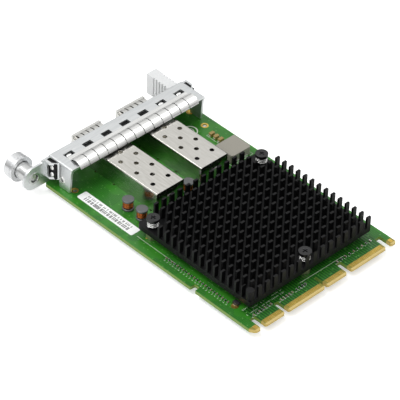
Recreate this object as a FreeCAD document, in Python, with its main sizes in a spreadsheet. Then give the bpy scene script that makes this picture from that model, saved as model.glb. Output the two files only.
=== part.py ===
import FreeCAD, Part
import math
import os
import re
import Sketcher
from FreeCAD import Rotation, Vector

# A dual-port network card for a server's mezzanine slot: a circuit board with a contact edge, two cages
# for pluggable modules behind a folded faceplate, a pin-fin heat sink on the controller, and a captive
# thumbscrew.
#
# Frame, in millimetres: the origin is the middle of the contact edge on the component side. +Y points into
# the connector, +Z away from the component side, and +X towards the thumbscrew.

SIZES = {
    # circuit board and its contact edge
    "board_width": 76.0,
    "board_length": 115.0,
    "board_thickness": 1.57,
    "edge_slot_depth": 6.3,
    "edge_slot_radius": 0.5,
    "tongue_chamfer": 0.5,
    "middle_key_width": 1.3,
    "tongue_1_width": 9.7,
    "tongue_2_width": 19.05,
    "tongue_3_width": 10.45,
    "tongue_4_width": 18.7,
    "key_12_width": 2.2,
    "key_34_width": 2.6,
    "left_relief_width": 2.7,
    "right_relief_width": 3.0,
    "bevel_length": 0.9,
    "bevel_depth": 0.35,
    "tip_chamfer_width": 1.7,
    "tip_chamfer_length": 2.6,
    "board_corner_radius": 0.8,
    "notch_place": 30.9,
    "notch_width": 2.6,
    "notch_depth": 2.4,
    "notch_radius": 0.6,
    "contact_pitch": 0.6,
    "contact_width": 0.36,
    "contact_length": 1.9,
    "contact_thickness": 0.05,
    "shoulder_1": 0.95,
    "shoulder_2": 1.42,
    "shoulder_3": 1.32,
    "shoulder_4": 1.25,
    "tip_contact_margin": 0.5,
    # folded faceplate
    "plate_gap": 0.05,
    "plate_thickness": 1.0,
    "plate_drop": 3.9,
    "shell_width": 70.8,
    "shell_height": 12.1,
    "shell_clearance": 0.3,
    "shell_bend_radius": 0.8,
    "front_bend_radius": 0.7,
    "flange_depth": 12.65,
    "wall_rear_setback": 0.4,
    "wall_rear_slant": 0.9,
    "jog_depth": 5.55,
    "jog_run": 2.9,
    "jog_bottom": 3.5,
    "jog_top": 11.2,
    "jog_window_front": 1.4,
    "jog_window_width": 3.4,
    "jog_window_bottom": 4.5,
    "jog_window_top": 10.3,
    "slot_pitch": 9.7,
    "flange_slots": 7,
    "slot_width": 4.4,
    "slot_length": 2.4,
    "slot_place": 4.15,
    "side_hole_place": 7.25,
    "side_hole_height": 4.4,
    "side_hole_radius": 0.9,
    "ear_radius": 5.2,
    "ear_fillet": 0.9,
    "vent_across_flats": 3.0,
    "vent_pitch": 3.6,
    "vent_height": 1.2,
    "port_side_clearance": 0.5,
    "port_top_clearance": 0.8,
    "port_bottom_clearance": 0.3,
    "light_window_width": 1.3,
    "light_window_height": 1.5,
    "light_height": 2.0,
    "light_inner_place": 1.1,
    "light_outer_place": 3.0,
    "tab_width": 7.0,
    "tab_overhang": 3.6,
    "left_screw_side_inset": 2.9,
    "left_screw_inset": 11.2,
    "right_screw_side_inset": 2.3,
    "right_screw_inset": 15.4,
    # spring-finger gaskets
    "gasket_thickness": 0.2,
    "gasket_finger_pitch": 4.81,
    "gasket_fingers": 13,
    "gasket_slit_width": 0.35,
    "gasket_foot": 1.8,
    "gasket_front": 6.65,
    "gasket_rise": 1.2,
    "gasket_drop": 1.1,
    "gasket_edge_clearance": 0.1,
    "bump_radius": 0.95,
    "bump_height": 0.9,
    "bump_strip_width": 2.4,
    "bump_strip_thickness": 0.3,
    "upper_bump_height": 8.7,
    "lower_bump_height": 5.5,
    # module cages
    "cage_spacing": 23.4,
    "cage_width": 14.25,
    "cage_height": 9.8,
    "cage_length": 48.7,
    "cage_nose": 5.05,
    "cage_sheet": 0.3,
    "cage_edge_radius": 0.6,
    "cage_vent_radius": 0.95,
    "cage_vent_pitch": 9.08,
    "cage_vent_rows": 3,
    "cage_vent_inset": 10.1,
    "cage_vent_offset": 4.0,
    "cage_floor_opening": 12.5,
    "cage_floor_rail": 1.2,
    "cage_lance_width": 3.2,
    "cage_lance_height": 6.0,
    "cage_lance_depth": 0.4,
    "cage_pin_width": 0.7,
    "cage_pin_drop": 3.2,
    "cage_pin_pitch": 10.5,
    "cage_pins_a_side": 4,
    "cage_pin_inset": 3.2,
    "cage_pin_clearance": 0.15,
    "cage_latch_place": 5.5,
    "cage_latch_width": 3.4,
    "collar_sheet": 0.15,
    "collar_band": 1.2,
    "collar_finger_length": 5.4,
    "collar_top_rise": 0.6,
    "collar_side_rise": 0.3,
    "collar_corner": 0.9,
    "collar_slit": 0.5,
    "collar_finger_pitch": 2.6,
    "collar_top_slits": 4,
    "collar_side_slits": 2,
    # module connectors
    "connector_width": 11.4,
    "connector_height": 5.6,
    "connector_length": 9.0,
    "connector_rear_gap": 1.6,
    "connector_slot_width": 9.4,
    "connector_slot_height": 1.5,
    "connector_slot_place": 2.7,
    "connector_slot_depth": 6.2,
    "connector_chamfer": 0.6,
    "lead_pitch": 0.8,
    "lead_width": 0.36,
    "lead_thickness": 0.2,
    "lead_count": 10,
    "lead_setback": 0.6,
    # heat sink and what holds it
    "sink_cage_gap": 3.4,
    "sink_rear_margin": 8.5,
    "sink_width": 64.2,
    "sink_base": 2.3,
    "sink_height": 7.3,
    "sink_corner_radius": 1.5,
    "pin_width": 2.0,
    "pin_depth": 1.0,
    "pin_columns": 16,
    "pin_rows": 17,
    "sink_screw_side_inset": 3.3,
    "sink_screw_front_inset": 5.3,
    "sink_screw_rear_inset": 3.5,
    "pocket_half_width": 3.4,
    "post_radius": 1.6,
    "post_height": 6.5,
    "post_inset": 1.7,
    "screw_head_radius": 2.6,
    "screw_head_height": 1.3,
    "screw_head_level": 9.7,
    "screw_shank_radius": 1.2,
    "screw_hole_clearance": 0.25,
    "screw_thread_clearance": 0.03,
    "screw_tip_level": 0.3,
    "coil_wire": 0.5,
    "coil_radius": 2.1,
    "coil_turns": 3,
    "standoff_across_flats": 4.8,
    # controller under the heat sink
    "chip_size": 25.0,
    "chip_substrate": 0.9,
    "chip_lid_size": 20.5,
    "chip_lid_height": 1.8,
    "chip_lid_radius": 1.0,
    "chip_place": 40.0,
    "thermal_pad_thickness": 0.3,
    # wound and moulded components
    "drum_radius": 2.4,
    "drum_waist_radius": 1.5,
    "drum_height": 4.9,
    "drum_flange": 0.9,
    "winding_radius": 2.1,
    "left_drum_x": 24.5,
    "drum_cage_inset": 2.0,
    "drum_pitch": 7.8,
    "inductor_length": 10.8,
    "inductor_depth": 10.0,
    "inductor_height": 4.2,
    "inductor_chamfer": 1.0,
    "inductor_edge": 0.4,
    "inductor_x": 28.95,
    "inductor_inset": 5.4,
    "moulded_length": 2.3,
    "moulded_width": 1.5,
    "moulded_height": 1.5,
    "moulded_pitch": 2.5,
    "moulded_x": 30.8,
    "moulded_gap": 3.05,
    "chip_part_length": 1.0,
    "chip_part_width": 0.5,
    "chip_part_height": 0.5,
    "chip_row_step": 1.5,
    "side_row_gap": 1.6,
    "side_row_inset": 9.5,
    "corner_row_inset": 0.5,
    "rear_row_gap": 1.8,
    "rear_row_inset": 1.5,
    "tongue_row_gap": 0.4,
    "tongue_row_inset": 1.45,
    "tongue_row_start": 9.2,
    "port_row_gap": 7.6,
    "small_ic_length": 2.6,
    "small_ic_width": 1.9,
    "small_ic_height": 1.0,
    "support_chip_inset": 0.3,
    "support_chip_place": 7.0,
    "under_chip_x": 23.0,
    "flash_length": 6.0,
    "flash_width": 5.0,
    "flash_height": 1.4,
    "under_part_pitch": 3.0,
    "light_width": 1.5,
    "light_depth": 1.6,
    "light_body_height": 3.0,
    "light_hole_clearance": 0.1,
    "light_gap": 0.4,
    # printed label
    "label_width": 4.9,
    "label_length": 31.0,
    "label_thickness": 0.1,
    "label_radius": 0.7,
    "label_edge_margin": 3.5,
    "label_screw_gap": 3.3,
    # pull tab
    "tab_grip_width": 5.3,
    "tab_grip_length": 15.4,
    "tab_grip_bottom": 0.2,
    "tab_grip_top": 9.6,
    "tab_grip_slope": 0.7,
    "tab_grip_x": 33.15,
    "tab_grip_radius": 0.7,
    "grip_groove_width": 0.75,
    "grip_groove_depth": 0.5,
    "grip_groove_pitch": 1.65,
    "grip_groove_place": 3.8,
    "grip_grooves": 5,
    "grip_screw_depth": 5.0,
    "grip_screw_spacing": 4.6,
    # small screws at the faceplate
    "small_screw_radius": 0.8,
    "small_screw_clearance": 0.1,
    "small_head_radius": 1.5,
    "small_head_height": 0.8,
    "ring_width": 0.7,
    # captive thumbscrew
    "thumbscrew_x": 43.34,
    "thumbscrew_z": 5.1,
    "knob_radius": 5.5,
    "knob_length": 5.1,
    "knob_stand_off": 6.35,
    "knob_front_wall": 0.8,
    "knob_clearance": 0.2,
    "knob_hub_radius": 2.5,
    "knob_hub_setback": 0.5,
    "knob_chamfer": 0.7,
    "knob_groove_place": 0.9,
    "knob_groove_width": 0.35,
    "knob_groove_depth": 0.25,
    "ferrule_radius": 3.5,
    "ferrule_length": 6.65,
    "ferrule_spigot_radius": 2.3,
    "ferrule_flare_radius": 2.65,
    "ferrule_flare": 0.3,
    "ferrule_bore_radius": 1.75,
    "ferrule_wall": 0.6,
    "ferrule_shoulder": 0.55,
    "thumbscrew_radius": 1.5,
    "thumbscrew_tip_setback": 0.15,
    "thumbscrew_tip_chamfer": 0.4,
    "thumbscrew_head_radius": 2.6,
    "thumbscrew_head_height": 0.6,
    "washer_thickness": 0.5,
    "washer_hole_clearance": 0.2,
    "washer_edge_clearance": 0.15,
    "return_wire": 0.4,
    "return_coil_radius": 2.25,
    "return_turns": 4,
    # how far a cutting shape runs past the face it opens
    "overcut": 1.0,
}

DERIVED = {
    "half_board": "board_width / 2",
    "half_shell": "shell_width / 2",
    "tongue_2_start": "middle_key_width / 2",
    "tongue_2_end": "tongue_2_start + tongue_2_width",
    "tongue_1_start": "tongue_2_end + key_12_width",
    "tongue_1_end": "tongue_1_start + tongue_1_width",
    "left_tip_start": "tongue_1_end + left_relief_width",
    "tongue_3_start": "-middle_key_width / 2",
    "tongue_3_end": "tongue_3_start - tongue_3_width",
    "tongue_4_start": "tongue_3_end - key_34_width",
    "tongue_4_end": "tongue_4_start - tongue_4_width",
    "right_tip_start": "tongue_4_end - right_relief_width",
    "plate_rear": "-board_length - plate_gap",
    "plate_front": "plate_rear - plate_thickness",
    "flange_rear": "plate_rear + flange_depth",
    "flange_under": "shell_height - plate_thickness",
    "wall_inner": "half_shell - plate_thickness",
    "jog_corner_shift": "plate_thickness * (sqrt(jog_out ^ 2 + jog_run ^ 2) - jog_run) / jog_out",
    "jog_out": "half_board - half_shell",
    "jog_rear": "plate_rear + jog_depth",
    "jog_front": "jog_rear - jog_run",
    "window_centre": "plate_rear + jog_window_front + jog_window_width / 2",
    "ear_top": "thumbscrew_z + ear_radius",
    "ear_bottom": "thumbscrew_z - ear_radius",
    "cage_x": "cage_spacing / 2",
    "half_cage": "cage_width / 2",
    "cage_front": "plate_front - cage_nose",
    "cage_rear": "cage_front + cage_length",
    "port_half_width": "half_cage + port_side_clearance",
    "port_top": "cage_height + port_top_clearance",
    "tab_rear": "plate_rear + right_screw_inset + tab_overhang",
    "under_board": "-board_thickness",
    "tab_bottom": "under_board - plate_thickness",
    "left_screw_y": "plate_rear + left_screw_inset",
    "right_screw_y": "plate_rear + right_screw_inset",
    "left_screw_x": "half_shell - left_screw_side_inset",
    "right_screw_x": "half_shell - right_screw_side_inset",
    "half_gasket": "gasket_finger_pitch * gasket_fingers / 2",
    "gasket_start": "plate_front + gasket_front",
    "gasket_arch_start": "gasket_start + gasket_foot",
    "gasket_half_chord": "(flange_rear + gasket_edge_clearance - gasket_arch_start) / 2",
    "gasket_inner_radius": "(gasket_half_chord ^ 2 + gasket_rise ^ 2) / (2 * gasket_rise)",
    "gasket_outer_radius": "gasket_inner_radius + gasket_thickness",
    "gasket_centre": "gasket_arch_start + gasket_half_chord",
    "gasket_end_drop": "gasket_inner_radius - gasket_rise - gasket_drop",
    "gasket_inner_end": "gasket_centre + sqrt(gasket_inner_radius ^ 2 - gasket_end_drop ^ 2)",
    "gasket_outer_end": "gasket_centre + sqrt(gasket_outer_radius ^ 2 - gasket_end_drop ^ 2)",
    "gasket_outer_start": "gasket_centre - sqrt(gasket_outer_radius ^ 2"
    " - (gasket_inner_radius - gasket_rise + gasket_thickness) ^ 2)",
    "collar_root": "cage_front + collar_band",
    "connector_rear": "cage_rear - cage_sheet - connector_rear_gap",
    "connector_front": "connector_rear - connector_length",
    "half_sink": "sink_width / 2",
    "sink_front": "cage_rear + sink_cage_gap",
    "sink_rear": "-sink_rear_margin",
    "sink_gap": "chip_top + thermal_pad_thickness",
    "sink_top": "sink_gap + sink_height",
    "fin_foot": "sink_gap + sink_base",
    "column_pitch": "(sink_width - pin_width) / (pin_columns - 1)",
    "row_pitch": "(sink_rear - sink_front - pin_depth) / (pin_rows - 1)",
    "sink_screw_x": "half_sink - sink_screw_side_inset",
    "sink_screw_front_y": "sink_front + sink_screw_front_inset",
    "sink_screw_rear_y": "sink_rear - sink_screw_rear_inset",
    "screw_hole_radius": "screw_shank_radius + screw_hole_clearance",
    "head_seat": "screw_head_level - screw_head_height",
    "chip_top": "chip_substrate + chip_lid_height",
    "drum_y": "cage_rear - drum_cage_inset",
    "inductor_rear": "sink_front - inductor_inset",
    "inductor_front": "inductor_rear - inductor_depth",
    "moulded_y": "inductor_front - moulded_gap - moulded_width / 2 - moulded_pitch",
    "label_front": "left_screw_y + label_screw_gap",
    "small_hole_radius": "small_screw_radius + small_screw_clearance",
    "small_screw_reach": "board_thickness + plate_thickness",
    "tab_grip_front": "plate_front - tab_grip_length",
    "tab_grip_middle": "(tab_grip_top - tab_grip_bottom) / 2",
    "knob_rear": "plate_front - knob_stand_off",
    "knob_front": "knob_rear - knob_length",
    "knob_cavity_radius": "ferrule_radius + knob_clearance",
    "knob_cavity_end": "knob_front + knob_front_wall",
    "hub_end": "knob_rear - knob_hub_setback",
    "counterbore_radius": "ferrule_radius - ferrule_wall",
    "washer_radius": "counterbore_radius - washer_edge_clearance",
    "ferrule_front": "plate_front - ferrule_length",
    "shoulder_face": "plate_front - ferrule_shoulder",
    "washer_front": "hub_end",
    "washer_rear": "hub_end + washer_thickness",
}

# The plane that a sketch lies on, and whether its normal points along the positive axis.
PLANES = {"XY": ("XY_Plane", 1), "XZ": ("XZ_Plane", -1), "YZ": ("YZ_Plane", 1)}
SHARP = 1e-4
ROUNDING = 0.01
# A spring's facets in a turn, and the part of a turn that lies flat at each of its ends.
COIL_FACETS = 12
COIL_REST = 0.6

doc = FreeCAD.newDocument("network_card")
sheet = doc.addObject("Spreadsheet::Sheet", "Sizes")
for row, (alias, size) in enumerate(SIZES.items(), 1):
    sheet.set("A%d" % row, alias)
    sheet.set("B%d" % row, str(size))
    sheet.setAlias("B%d" % row, alias)
doc.recompute()


def full(formula):
    """The formula with every name spelt out as cells of the sheet."""

    def spell(match):
        word = match.group(0)
        if word in DERIVED:
            return "(" + full(DERIVED[word]) + ")"
        return "Sizes." + word if word in SIZES else word

    return re.sub(r"[a-z_][a-z_0-9]*", spell, str(formula))


def value(formula):
    """The present value of a formula."""
    return float(sheet.evalExpression(full(formula)))


def bind(thing, **formulas):
    """Tie properties to formulas; x, y and z place the thing."""
    for name, formula in formulas.items():
        path = ".Placement.Base." + name if name in ("x", "y", "z") else name
        thing.setExpression(path, full(formula))


# ---- sketches ----


def new_sketch(body, name, plane, level):
    """A sketch on one of the body's origin planes, moved along the axis to a level."""
    role, sense = PLANES[plane]
    sketch = body.newObject("Sketcher::SketchObject", name)
    support = [item for item in body.Origin.OriginFeatures if item.Role == role][0]
    sketch.AttachmentSupport = [(support, "")]
    sketch.MapMode = "FlatFace"
    sketch.setExpression(".AttachmentOffset.Base.z", "%d * (%s)" % (sense, full(level)))
    return sketch


def fix_point(sketch, geometry, point, x, y):
    """Tie a point of the sketch to its two coordinates."""
    for kind, formula, axis in (("DistanceX", x, -2), ("DistanceY", y, -1)):
        if str(formula) == "0":
            sketch.addConstraint(Sketcher.Constraint("PointOnObject", geometry, point, axis))
            continue
        index = sketch.addConstraint(Sketcher.Constraint(kind, -1, 1, geometry, point, value(formula)))
        sketch.setExpression("Constraints[%d]" % index, full(formula))


def circle(sketch, x, y, radius):
    """A circle with its centre and radius tied to formulas."""
    centre = Vector(value(x), value(y), 0)
    index = sketch.addGeometry(Part.Circle(centre, Vector(0, 0, 1), value(radius)), False)
    fix_point(sketch, index, 3, x, y)
    constraint = sketch.addConstraint(Sketcher.Constraint("Radius", index, value(radius)))
    sketch.setExpression("Constraints[%d]" % constraint, full(radius))


def outline(sketch, corners):
    """A closed outline. A corner (x, y, radius) is reached by an arc; a minus sign bends it the other way."""
    points = [Vector(value(corner[0]), value(corner[1]), 0) for corner in corners]
    pieces = []
    for index, corner in enumerate(corners):
        start, end = points[index - 1], points[index]
        if len(corner) == 2:
            pieces.append((sketch.addGeometry(Part.LineSegment(start, end), False), 1, 2))
            continue
        radius = value(corner[2])
        turn = math.copysign(1, radius)
        chord = end - start
        rise = math.sqrt(max(radius**2 - (chord.Length / 2) ** 2, 0))
        centre = (start + end) * 0.5 + Vector(-chord.y, chord.x, 0).normalize() * rise * turn
        first, second = (start, end) if turn > 0 else (end, start)
        angles = [math.atan2(point.y - centre.y, point.x - centre.x) for point in (first, second)]
        arc = Part.ArcOfCircle(Part.Circle(centre, Vector(0, 0, 1), abs(radius)), *angles)
        piece = sketch.addGeometry(arc, False)
        pieces.append((piece, 1, 2) if turn > 0 else (piece, 2, 1))
    for index, (piece, start_point, end_point) in enumerate(pieces):
        following = pieces[(index + 1) % len(pieces)]
        sketch.addConstraint(Sketcher.Constraint("Coincident", piece, end_point, following[0], following[1]))
        fix_point(sketch, piece, end_point, corners[index][0], corners[index][1])
        if len(corners[index]) == 3:
            radius = corners[index][2]
            constraint = sketch.addConstraint(Sketcher.Constraint("Radius", piece, abs(value(radius))))
            sketch.setExpression("Constraints[%d]" % constraint, "abs(%s)" % full(radius))


def polygon(sketch, x, y, across_flats, sides):
    """A regular polygon about a centre, with one pair of flats upright."""
    reach = "(%s) / 2 / cos(%g deg)" % (across_flats, 180 / sides)
    corners = []
    for step in range(sides):
        turn = 360 * (step + 0.5) / sides
        across = "%s + %s * cos(%g deg)" % (x, reach, turn)
        corners.append((across, "%s + %s * sin(%g deg)" % (y, reach, turn)))
    outline(sketch, corners)


def rectangle(sketch, left, right, low, high):
    """An upright rectangle between four coordinates."""
    x0, x1, y0, y1 = [value(side) for side in (left, right, low, high)]
    points = [Vector(x0, y0, 0), Vector(x1, y0, 0), Vector(x1, y1, 0), Vector(x0, y1, 0)]
    first = sketch.GeometryCount
    for start, end in zip(points, points[1:] + points[:1]):
        sketch.addGeometry(Part.LineSegment(start, end), False)
    for side in range(4):
        following = first + (side + 1) % 4
        sketch.addConstraint(Sketcher.Constraint("Coincident", first + side, 2, following, 1))
        sketch.addConstraint(Sketcher.Constraint("Vertical" if side % 2 else "Horizontal", first + side))
    fix_point(sketch, first, 1, left, low)
    fix_point(sketch, first + 2, 1, right, high)


# ---- features ----


def new_body(label):
    """An empty body with its own label."""
    body = doc.addObject("PartDesign::Body", label)
    body.Label = label
    body.AllowCompound = True
    return body


def extrude(body, kind, name, plane, low, high, draw):
    """Pad or pocket whatever draw(sketch) draws, between two levels along the plane's axis."""
    sketch = new_sketch(body, name + "_sketch", plane, high if PLANES[plane][1] < 0 else low)
    draw(sketch)
    feature = body.newObject("PartDesign::" + kind, name)
    feature.Profile = sketch
    feature.Reversed = kind == "Pocket"
    bind(feature, Length="(%s) - (%s)" % (high, low))
    return feature


def pad(body, name, plane, low, high, draw):
    return extrude(body, "Pad", name, plane, low, high, draw)


def pocket(body, name, plane, low, high, draw):
    return extrude(body, "Pocket", name, plane, low, high, draw)


def revolve(body, name, plane, axis, corners, kind="Revolution"):
    """A turned solid, or a turned cut, from an outline beside one of the body's own axes."""
    sketch = new_sketch(body, name + "_sketch", plane, "0")
    outline(sketch, corners)
    feature = body.newObject("PartDesign::" + kind, name)
    feature.Profile = sketch
    feature.ReferenceAxis = (sketch, [axis])
    feature.Angle = 360
    return feature


def body_axis(body, role):
    return [item for item in body.Origin.OriginFeatures if item.Role == role][0]


def repeat(body, features, axis, step, count, backwards=False):
    """Repeat features in a row along one of the body's axes."""
    pattern = body.newObject("PartDesign::LinearPattern", features[-1].Name + "_row")
    pattern.Originals = features
    pattern.Direction = (body_axis(body, axis), [""])
    pattern.Mode = "Spacing"
    pattern.Reversed = backwards
    bind(pattern, Offset=step, Occurrences=count)
    body.Tip = pattern
    return pattern


def mirror(body, features, plane):
    """Mirror features in one of the body's origin planes."""
    result = body.newObject("PartDesign::Mirrored", features[-1].Name + "_mirror")
    result.Originals = features
    result.MirrorPlane = (body_axis(body, plane), [""])
    body.Tip = result
    return result


def edges_on(feature, lines):
    """Names of the straight edges that lie along given lines: (axis, first, second) coordinate formulas."""
    doc.recompute()
    wanted = []
    for axis, first, second in lines:
        others = [name for name in "xyz" if name != axis]
        wanted.append((others, value(first), value(second)))
    names = []
    for number, edge in enumerate(feature.Shape.Edges, 1):
        for others, first, second in wanted:
            offsets = [
                abs(getattr(vertex.Point, name) - target)
                for vertex in edge.Vertexes
                for name, target in zip(others, (first, second))
            ]
            if max(offsets) < SHARP:
                names.append("Edge%d" % number)
                break
    if len(names) < len(lines):
        raise RuntimeError("%s has %d of %d edges" % (feature.Label, len(names), len(lines)))
    return names


def dress(body, kind, name, lines, size):
    """A fillet or chamfer on the straight edges that lie along the given lines."""
    base = body.Tip
    feature = body.newObject("PartDesign::" + kind, name)
    feature.Base = (base, edges_on(base, lines))
    bind(feature, **{"Radius" if kind == "Fillet" else "Size": size})
    return feature


def block(name, x0, x1, y0, y1, z0, z1):
    """A plain block between six coordinates."""
    result = doc.addObject("Part::Box", name)
    bind(result, Length="(%s) - (%s)" % (x1, x0), x=x0)
    bind(result, Width="(%s) - (%s)" % (y1, y0), y=y0)
    bind(result, Height="(%s) - (%s)" % (z1, z0), z=z0)
    return result


def group(label, members):
    """One node of several like solids."""
    result = doc.addObject("Part::Compound", label)
    result.Label = label
    result.Links = members
    return result


def coil(name, radius, wire, start, end, turns):
    """A compression spring of square wire about Z, in flat facets, with an end turn lying on each level."""
    middle, half_wire, low, high = value(radius), value(wire) / 2, value(start), value(end)
    steps = round(value(turns) * COIL_FACETS)
    rising = steps - 2 * COIL_FACETS * COIL_REST
    climb = high - low - 2 * half_wire
    sections = []
    for step in range(steps + 1):
        turn = 2 * math.pi * step / COIL_FACETS
        share = min(max((step - COIL_FACETS * COIL_REST) / rising, 0), 1)
        level = low + climb * share
        outward = Vector(math.cos(turn), math.sin(turn), 0)
        ring = [
            outward * (middle + side * half_wire) + Vector(0, 0, level + rise * 2 * half_wire)
            for side, rise in ((-1, 0), (1, 0), (1, 1), (-1, 1))
        ]
        sections.append(Part.makePolygon(ring + ring[:1]))
    spring = doc.addObject("Part::Feature", name)
    spring.Shape = Part.makeLoft(sections, True, True)
    return spring


# ---- circuit board ----

TONGUES = [
    ("tongue_1_start", "tongue_1_end", "shoulder_1"),
    ("tongue_2_start", "tongue_2_end", "shoulder_2"),
    ("tongue_3_end", "tongue_3_start", "shoulder_3"),
    ("tongue_4_end", "tongue_4_start", "shoulder_4"),
]
SLOTS = [
    ("tongue_1_end", "left_tip_start"),
    ("tongue_2_end", "tongue_1_start"),
    ("tongue_3_start", "tongue_2_start"),
    ("tongue_4_start", "tongue_3_end"),
    ("right_tip_start", "tongue_4_end"),
]
FACEPLATE_SCREWS = [("left_screw_x", "left_screw_y"), ("-right_screw_x", "right_screw_y")]
SINK_SCREWS = [
    ("sink_screw_x", "sink_screw_front_y"),
    ("-sink_screw_x", "sink_screw_front_y"),
    ("0", "sink_screw_rear_y"),
]
# The cages' many round vents are polygons, which keeps the model light.
VENT_SIDES = 12
CAGE_PIN_X = "half_cage - cage_sheet / 2"
CAGE_PIN_Y = "cage_rear - cage_pin_inset"


def draw_board_outline(sketch):
    corners = [
        ("-half_board", "-board_length"),
        ("half_board", "-board_length"),
        ("half_board", "-tip_chamfer_length"),
        ("half_board - tip_chamfer_width", "0"),
        ("-half_board", "0"),
    ]
    outline(sketch, corners)


def draw_edge_slots(sketch):
    for left, right in SLOTS:
        rectangle(sketch, left, right, "-edge_slot_depth", "overcut")


def draw_side_notch(sketch):
    far = "-notch_place - notch_width"
    rectangle(sketch, "half_board - notch_depth", "half_board + overcut", far, "-notch_place")


def draw_board_holes(sketch):
    for x, y in FACEPLATE_SCREWS:
        circle(sketch, x, y, "small_hole_radius")


def draw_cage_pin_holes(sketch):
    for centre in ("cage_x", "-cage_x"):
        for side in ("+", "-"):
            x = "%s %s (%s)" % (centre, side, CAGE_PIN_X)
            polygon(sketch, x, CAGE_PIN_Y, "cage_pin_width + 2 * cage_pin_clearance", 4)


def draw_bevels(sketch):
    """The two thin triangles that the bevel takes off the edge's faces."""
    reach = "bevel_depth * (1 + overcut / bevel_length)"
    outline(sketch, [("-bevel_length", "0"), ("overcut", "-" + reach), ("overcut", "0")])
    outline(
        sketch,
        [("-bevel_length", "under_board"), ("overcut", "under_board"), ("overcut", "under_board + " + reach)],
    )


def circuit_board():
    """The board: tongues with bevelled ends, keying slots, a side notch and its drilled holes."""
    body = new_body("circuit_board")
    pad(body, "board", "XY", "under_board", "0", draw_board_outline)
    pocket(body, "edge_slots", "XY", "under_board", "0", draw_edge_slots)
    slot_sides = [side for slot in SLOTS for side in slot]
    slot_ends = [("z", side, "-edge_slot_depth") for side in slot_sides]
    dress(body, "Fillet", "slot_ends", slot_ends, "edge_slot_radius")
    dress(body, "Chamfer", "tongue_corners", [("z", side, "0") for side in slot_sides], "tongue_chamfer")
    pocket(body, "side_notch", "XY", "under_board", "0", draw_side_notch)
    notch_corners = [
        ("z", "half_board - notch_depth", "-notch_place"),
        ("z", "half_board - notch_depth", "-notch_place - notch_width"),
        ("z", "half_board", "-notch_place - notch_width"),
    ]
    dress(body, "Fillet", "notch_corners", notch_corners, "notch_radius")
    outer_corners = [("-half_board", "0"), ("-half_board", "-board_length"), ("half_board", "-board_length")]
    dress(body, "Fillet", "outer_corners", [("z", x, y) for x, y in outer_corners], "board_corner_radius")
    pocket(body, "edge_bevels", "YZ", "-half_board - overcut", "half_board + overcut", draw_bevels)
    pocket(body, "mounting_holes", "XY", "under_board", "0", draw_board_holes)
    holes = pocket(body, "cage_pin_holes", "XY", "under_board", "0", draw_cage_pin_holes)
    repeat(body, [holes], "Y_Axis", "cage_pin_pitch", "cage_pins_a_side", backwards=True)
    return body


def draw_contact_pair(left, right):
    """One contact on each face of the board, seen along the insertion axis."""

    def draw(sketch):
        rectangle(sketch, left, right, "0", "contact_thickness")
        rectangle(sketch, left, right, "under_board - contact_thickness", "under_board")

    return draw


def edge_contacts():
    """Gold contacts on both faces of the four tongues, and one wide pad on each tip."""
    body = new_body("edge_contacts")
    front = "-bevel_length - contact_length"
    for number, (start, end, shoulder) in enumerate(TONGUES, 1):
        count = "floor((%s - (%s) - 2 * %s) / contact_pitch + %g) + 1" % (end, start, shoulder, ROUNDING)
        first = "(%s + %s) / 2 - (%s - 1) / 2 * contact_pitch" % (start, end, count)
        draw = draw_contact_pair(first + " - contact_width / 2", first + " + contact_width / 2")
        contact = pad(body, "contact_%d" % number, "XZ", front, "-bevel_length", draw)
        repeat(body, [contact], "X_Axis", "contact_pitch", count)
    tips = [
        ("left_tip_start + tip_contact_margin", "half_board - tip_chamfer_width"),
        ("-half_board + board_corner_radius", "right_tip_start - tip_contact_margin"),
    ]
    for number, (left, right) in enumerate(tips, 1):
        pad(body, "tip_contact_%d" % number, "XZ", front, "-bevel_length", draw_contact_pair(left, right))
    return body


# ---- faceplate ----


def draw_shell(sketch):
    """The folded top and side walls, seen along the card."""
    corners = [
        ("-half_shell", "shell_clearance"),
        ("-wall_inner", "shell_clearance"),
        ("-wall_inner", "flange_under"),
        ("wall_inner", "flange_under"),
        ("wall_inner", "shell_clearance"),
        ("half_shell", "shell_clearance"),
        ("half_shell", "shell_height"),
        ("-half_shell", "shell_height"),
    ]
    outline(sketch, corners)


def draw_front_plate(sketch):
    """The front plate with its rounded top corners, stepped sides and the ear for the thumbscrew."""
    shoulder = "shell_height - shell_bend_radius"
    corners = [
        ("-half_shell", "-plate_drop"),
        ("half_shell", "-plate_drop"),
        ("half_shell", "ear_bottom"),
        ("thumbscrew_x", "ear_bottom"),
        ("thumbscrew_x + ear_radius", "thumbscrew_z", "ear_radius"),
        ("thumbscrew_x", "ear_top", "ear_radius"),
        ("half_board + 2 * ear_fillet", "ear_top"),
        ("half_board + ear_fillet", "jog_top", "-ear_fillet"),
        ("half_shell", "jog_top"),
        ("half_shell", shoulder),
        ("half_shell - shell_bend_radius", "shell_height", "shell_bend_radius"),
        ("-half_shell + shell_bend_radius", "shell_height"),
        ("-half_shell", shoulder, "shell_bend_radius"),
        ("-half_shell", "jog_top"),
        ("-half_board", "jog_top"),
        ("-half_board", "ear_bottom"),
        ("-half_shell", "ear_bottom"),
    ]
    outline(sketch, corners)


def draw_wall_rear_cut(sketch):
    """What the slanted rear edges of the side walls leave off."""
    top = "flange_under - shell_bend_radius"
    corners = [
        ("flange_rear - wall_rear_setback - wall_rear_slant", "shell_clearance - overcut"),
        ("flange_rear + overcut", "shell_clearance - overcut"),
        ("flange_rear + overcut", top),
        ("flange_rear - wall_rear_setback", top),
    ]
    outline(sketch, corners)


def draw_wall_front_cut(sketch):
    rectangle(sketch, "wall_inner", "half_shell + overcut", "plate_rear", "jog_rear")


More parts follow.
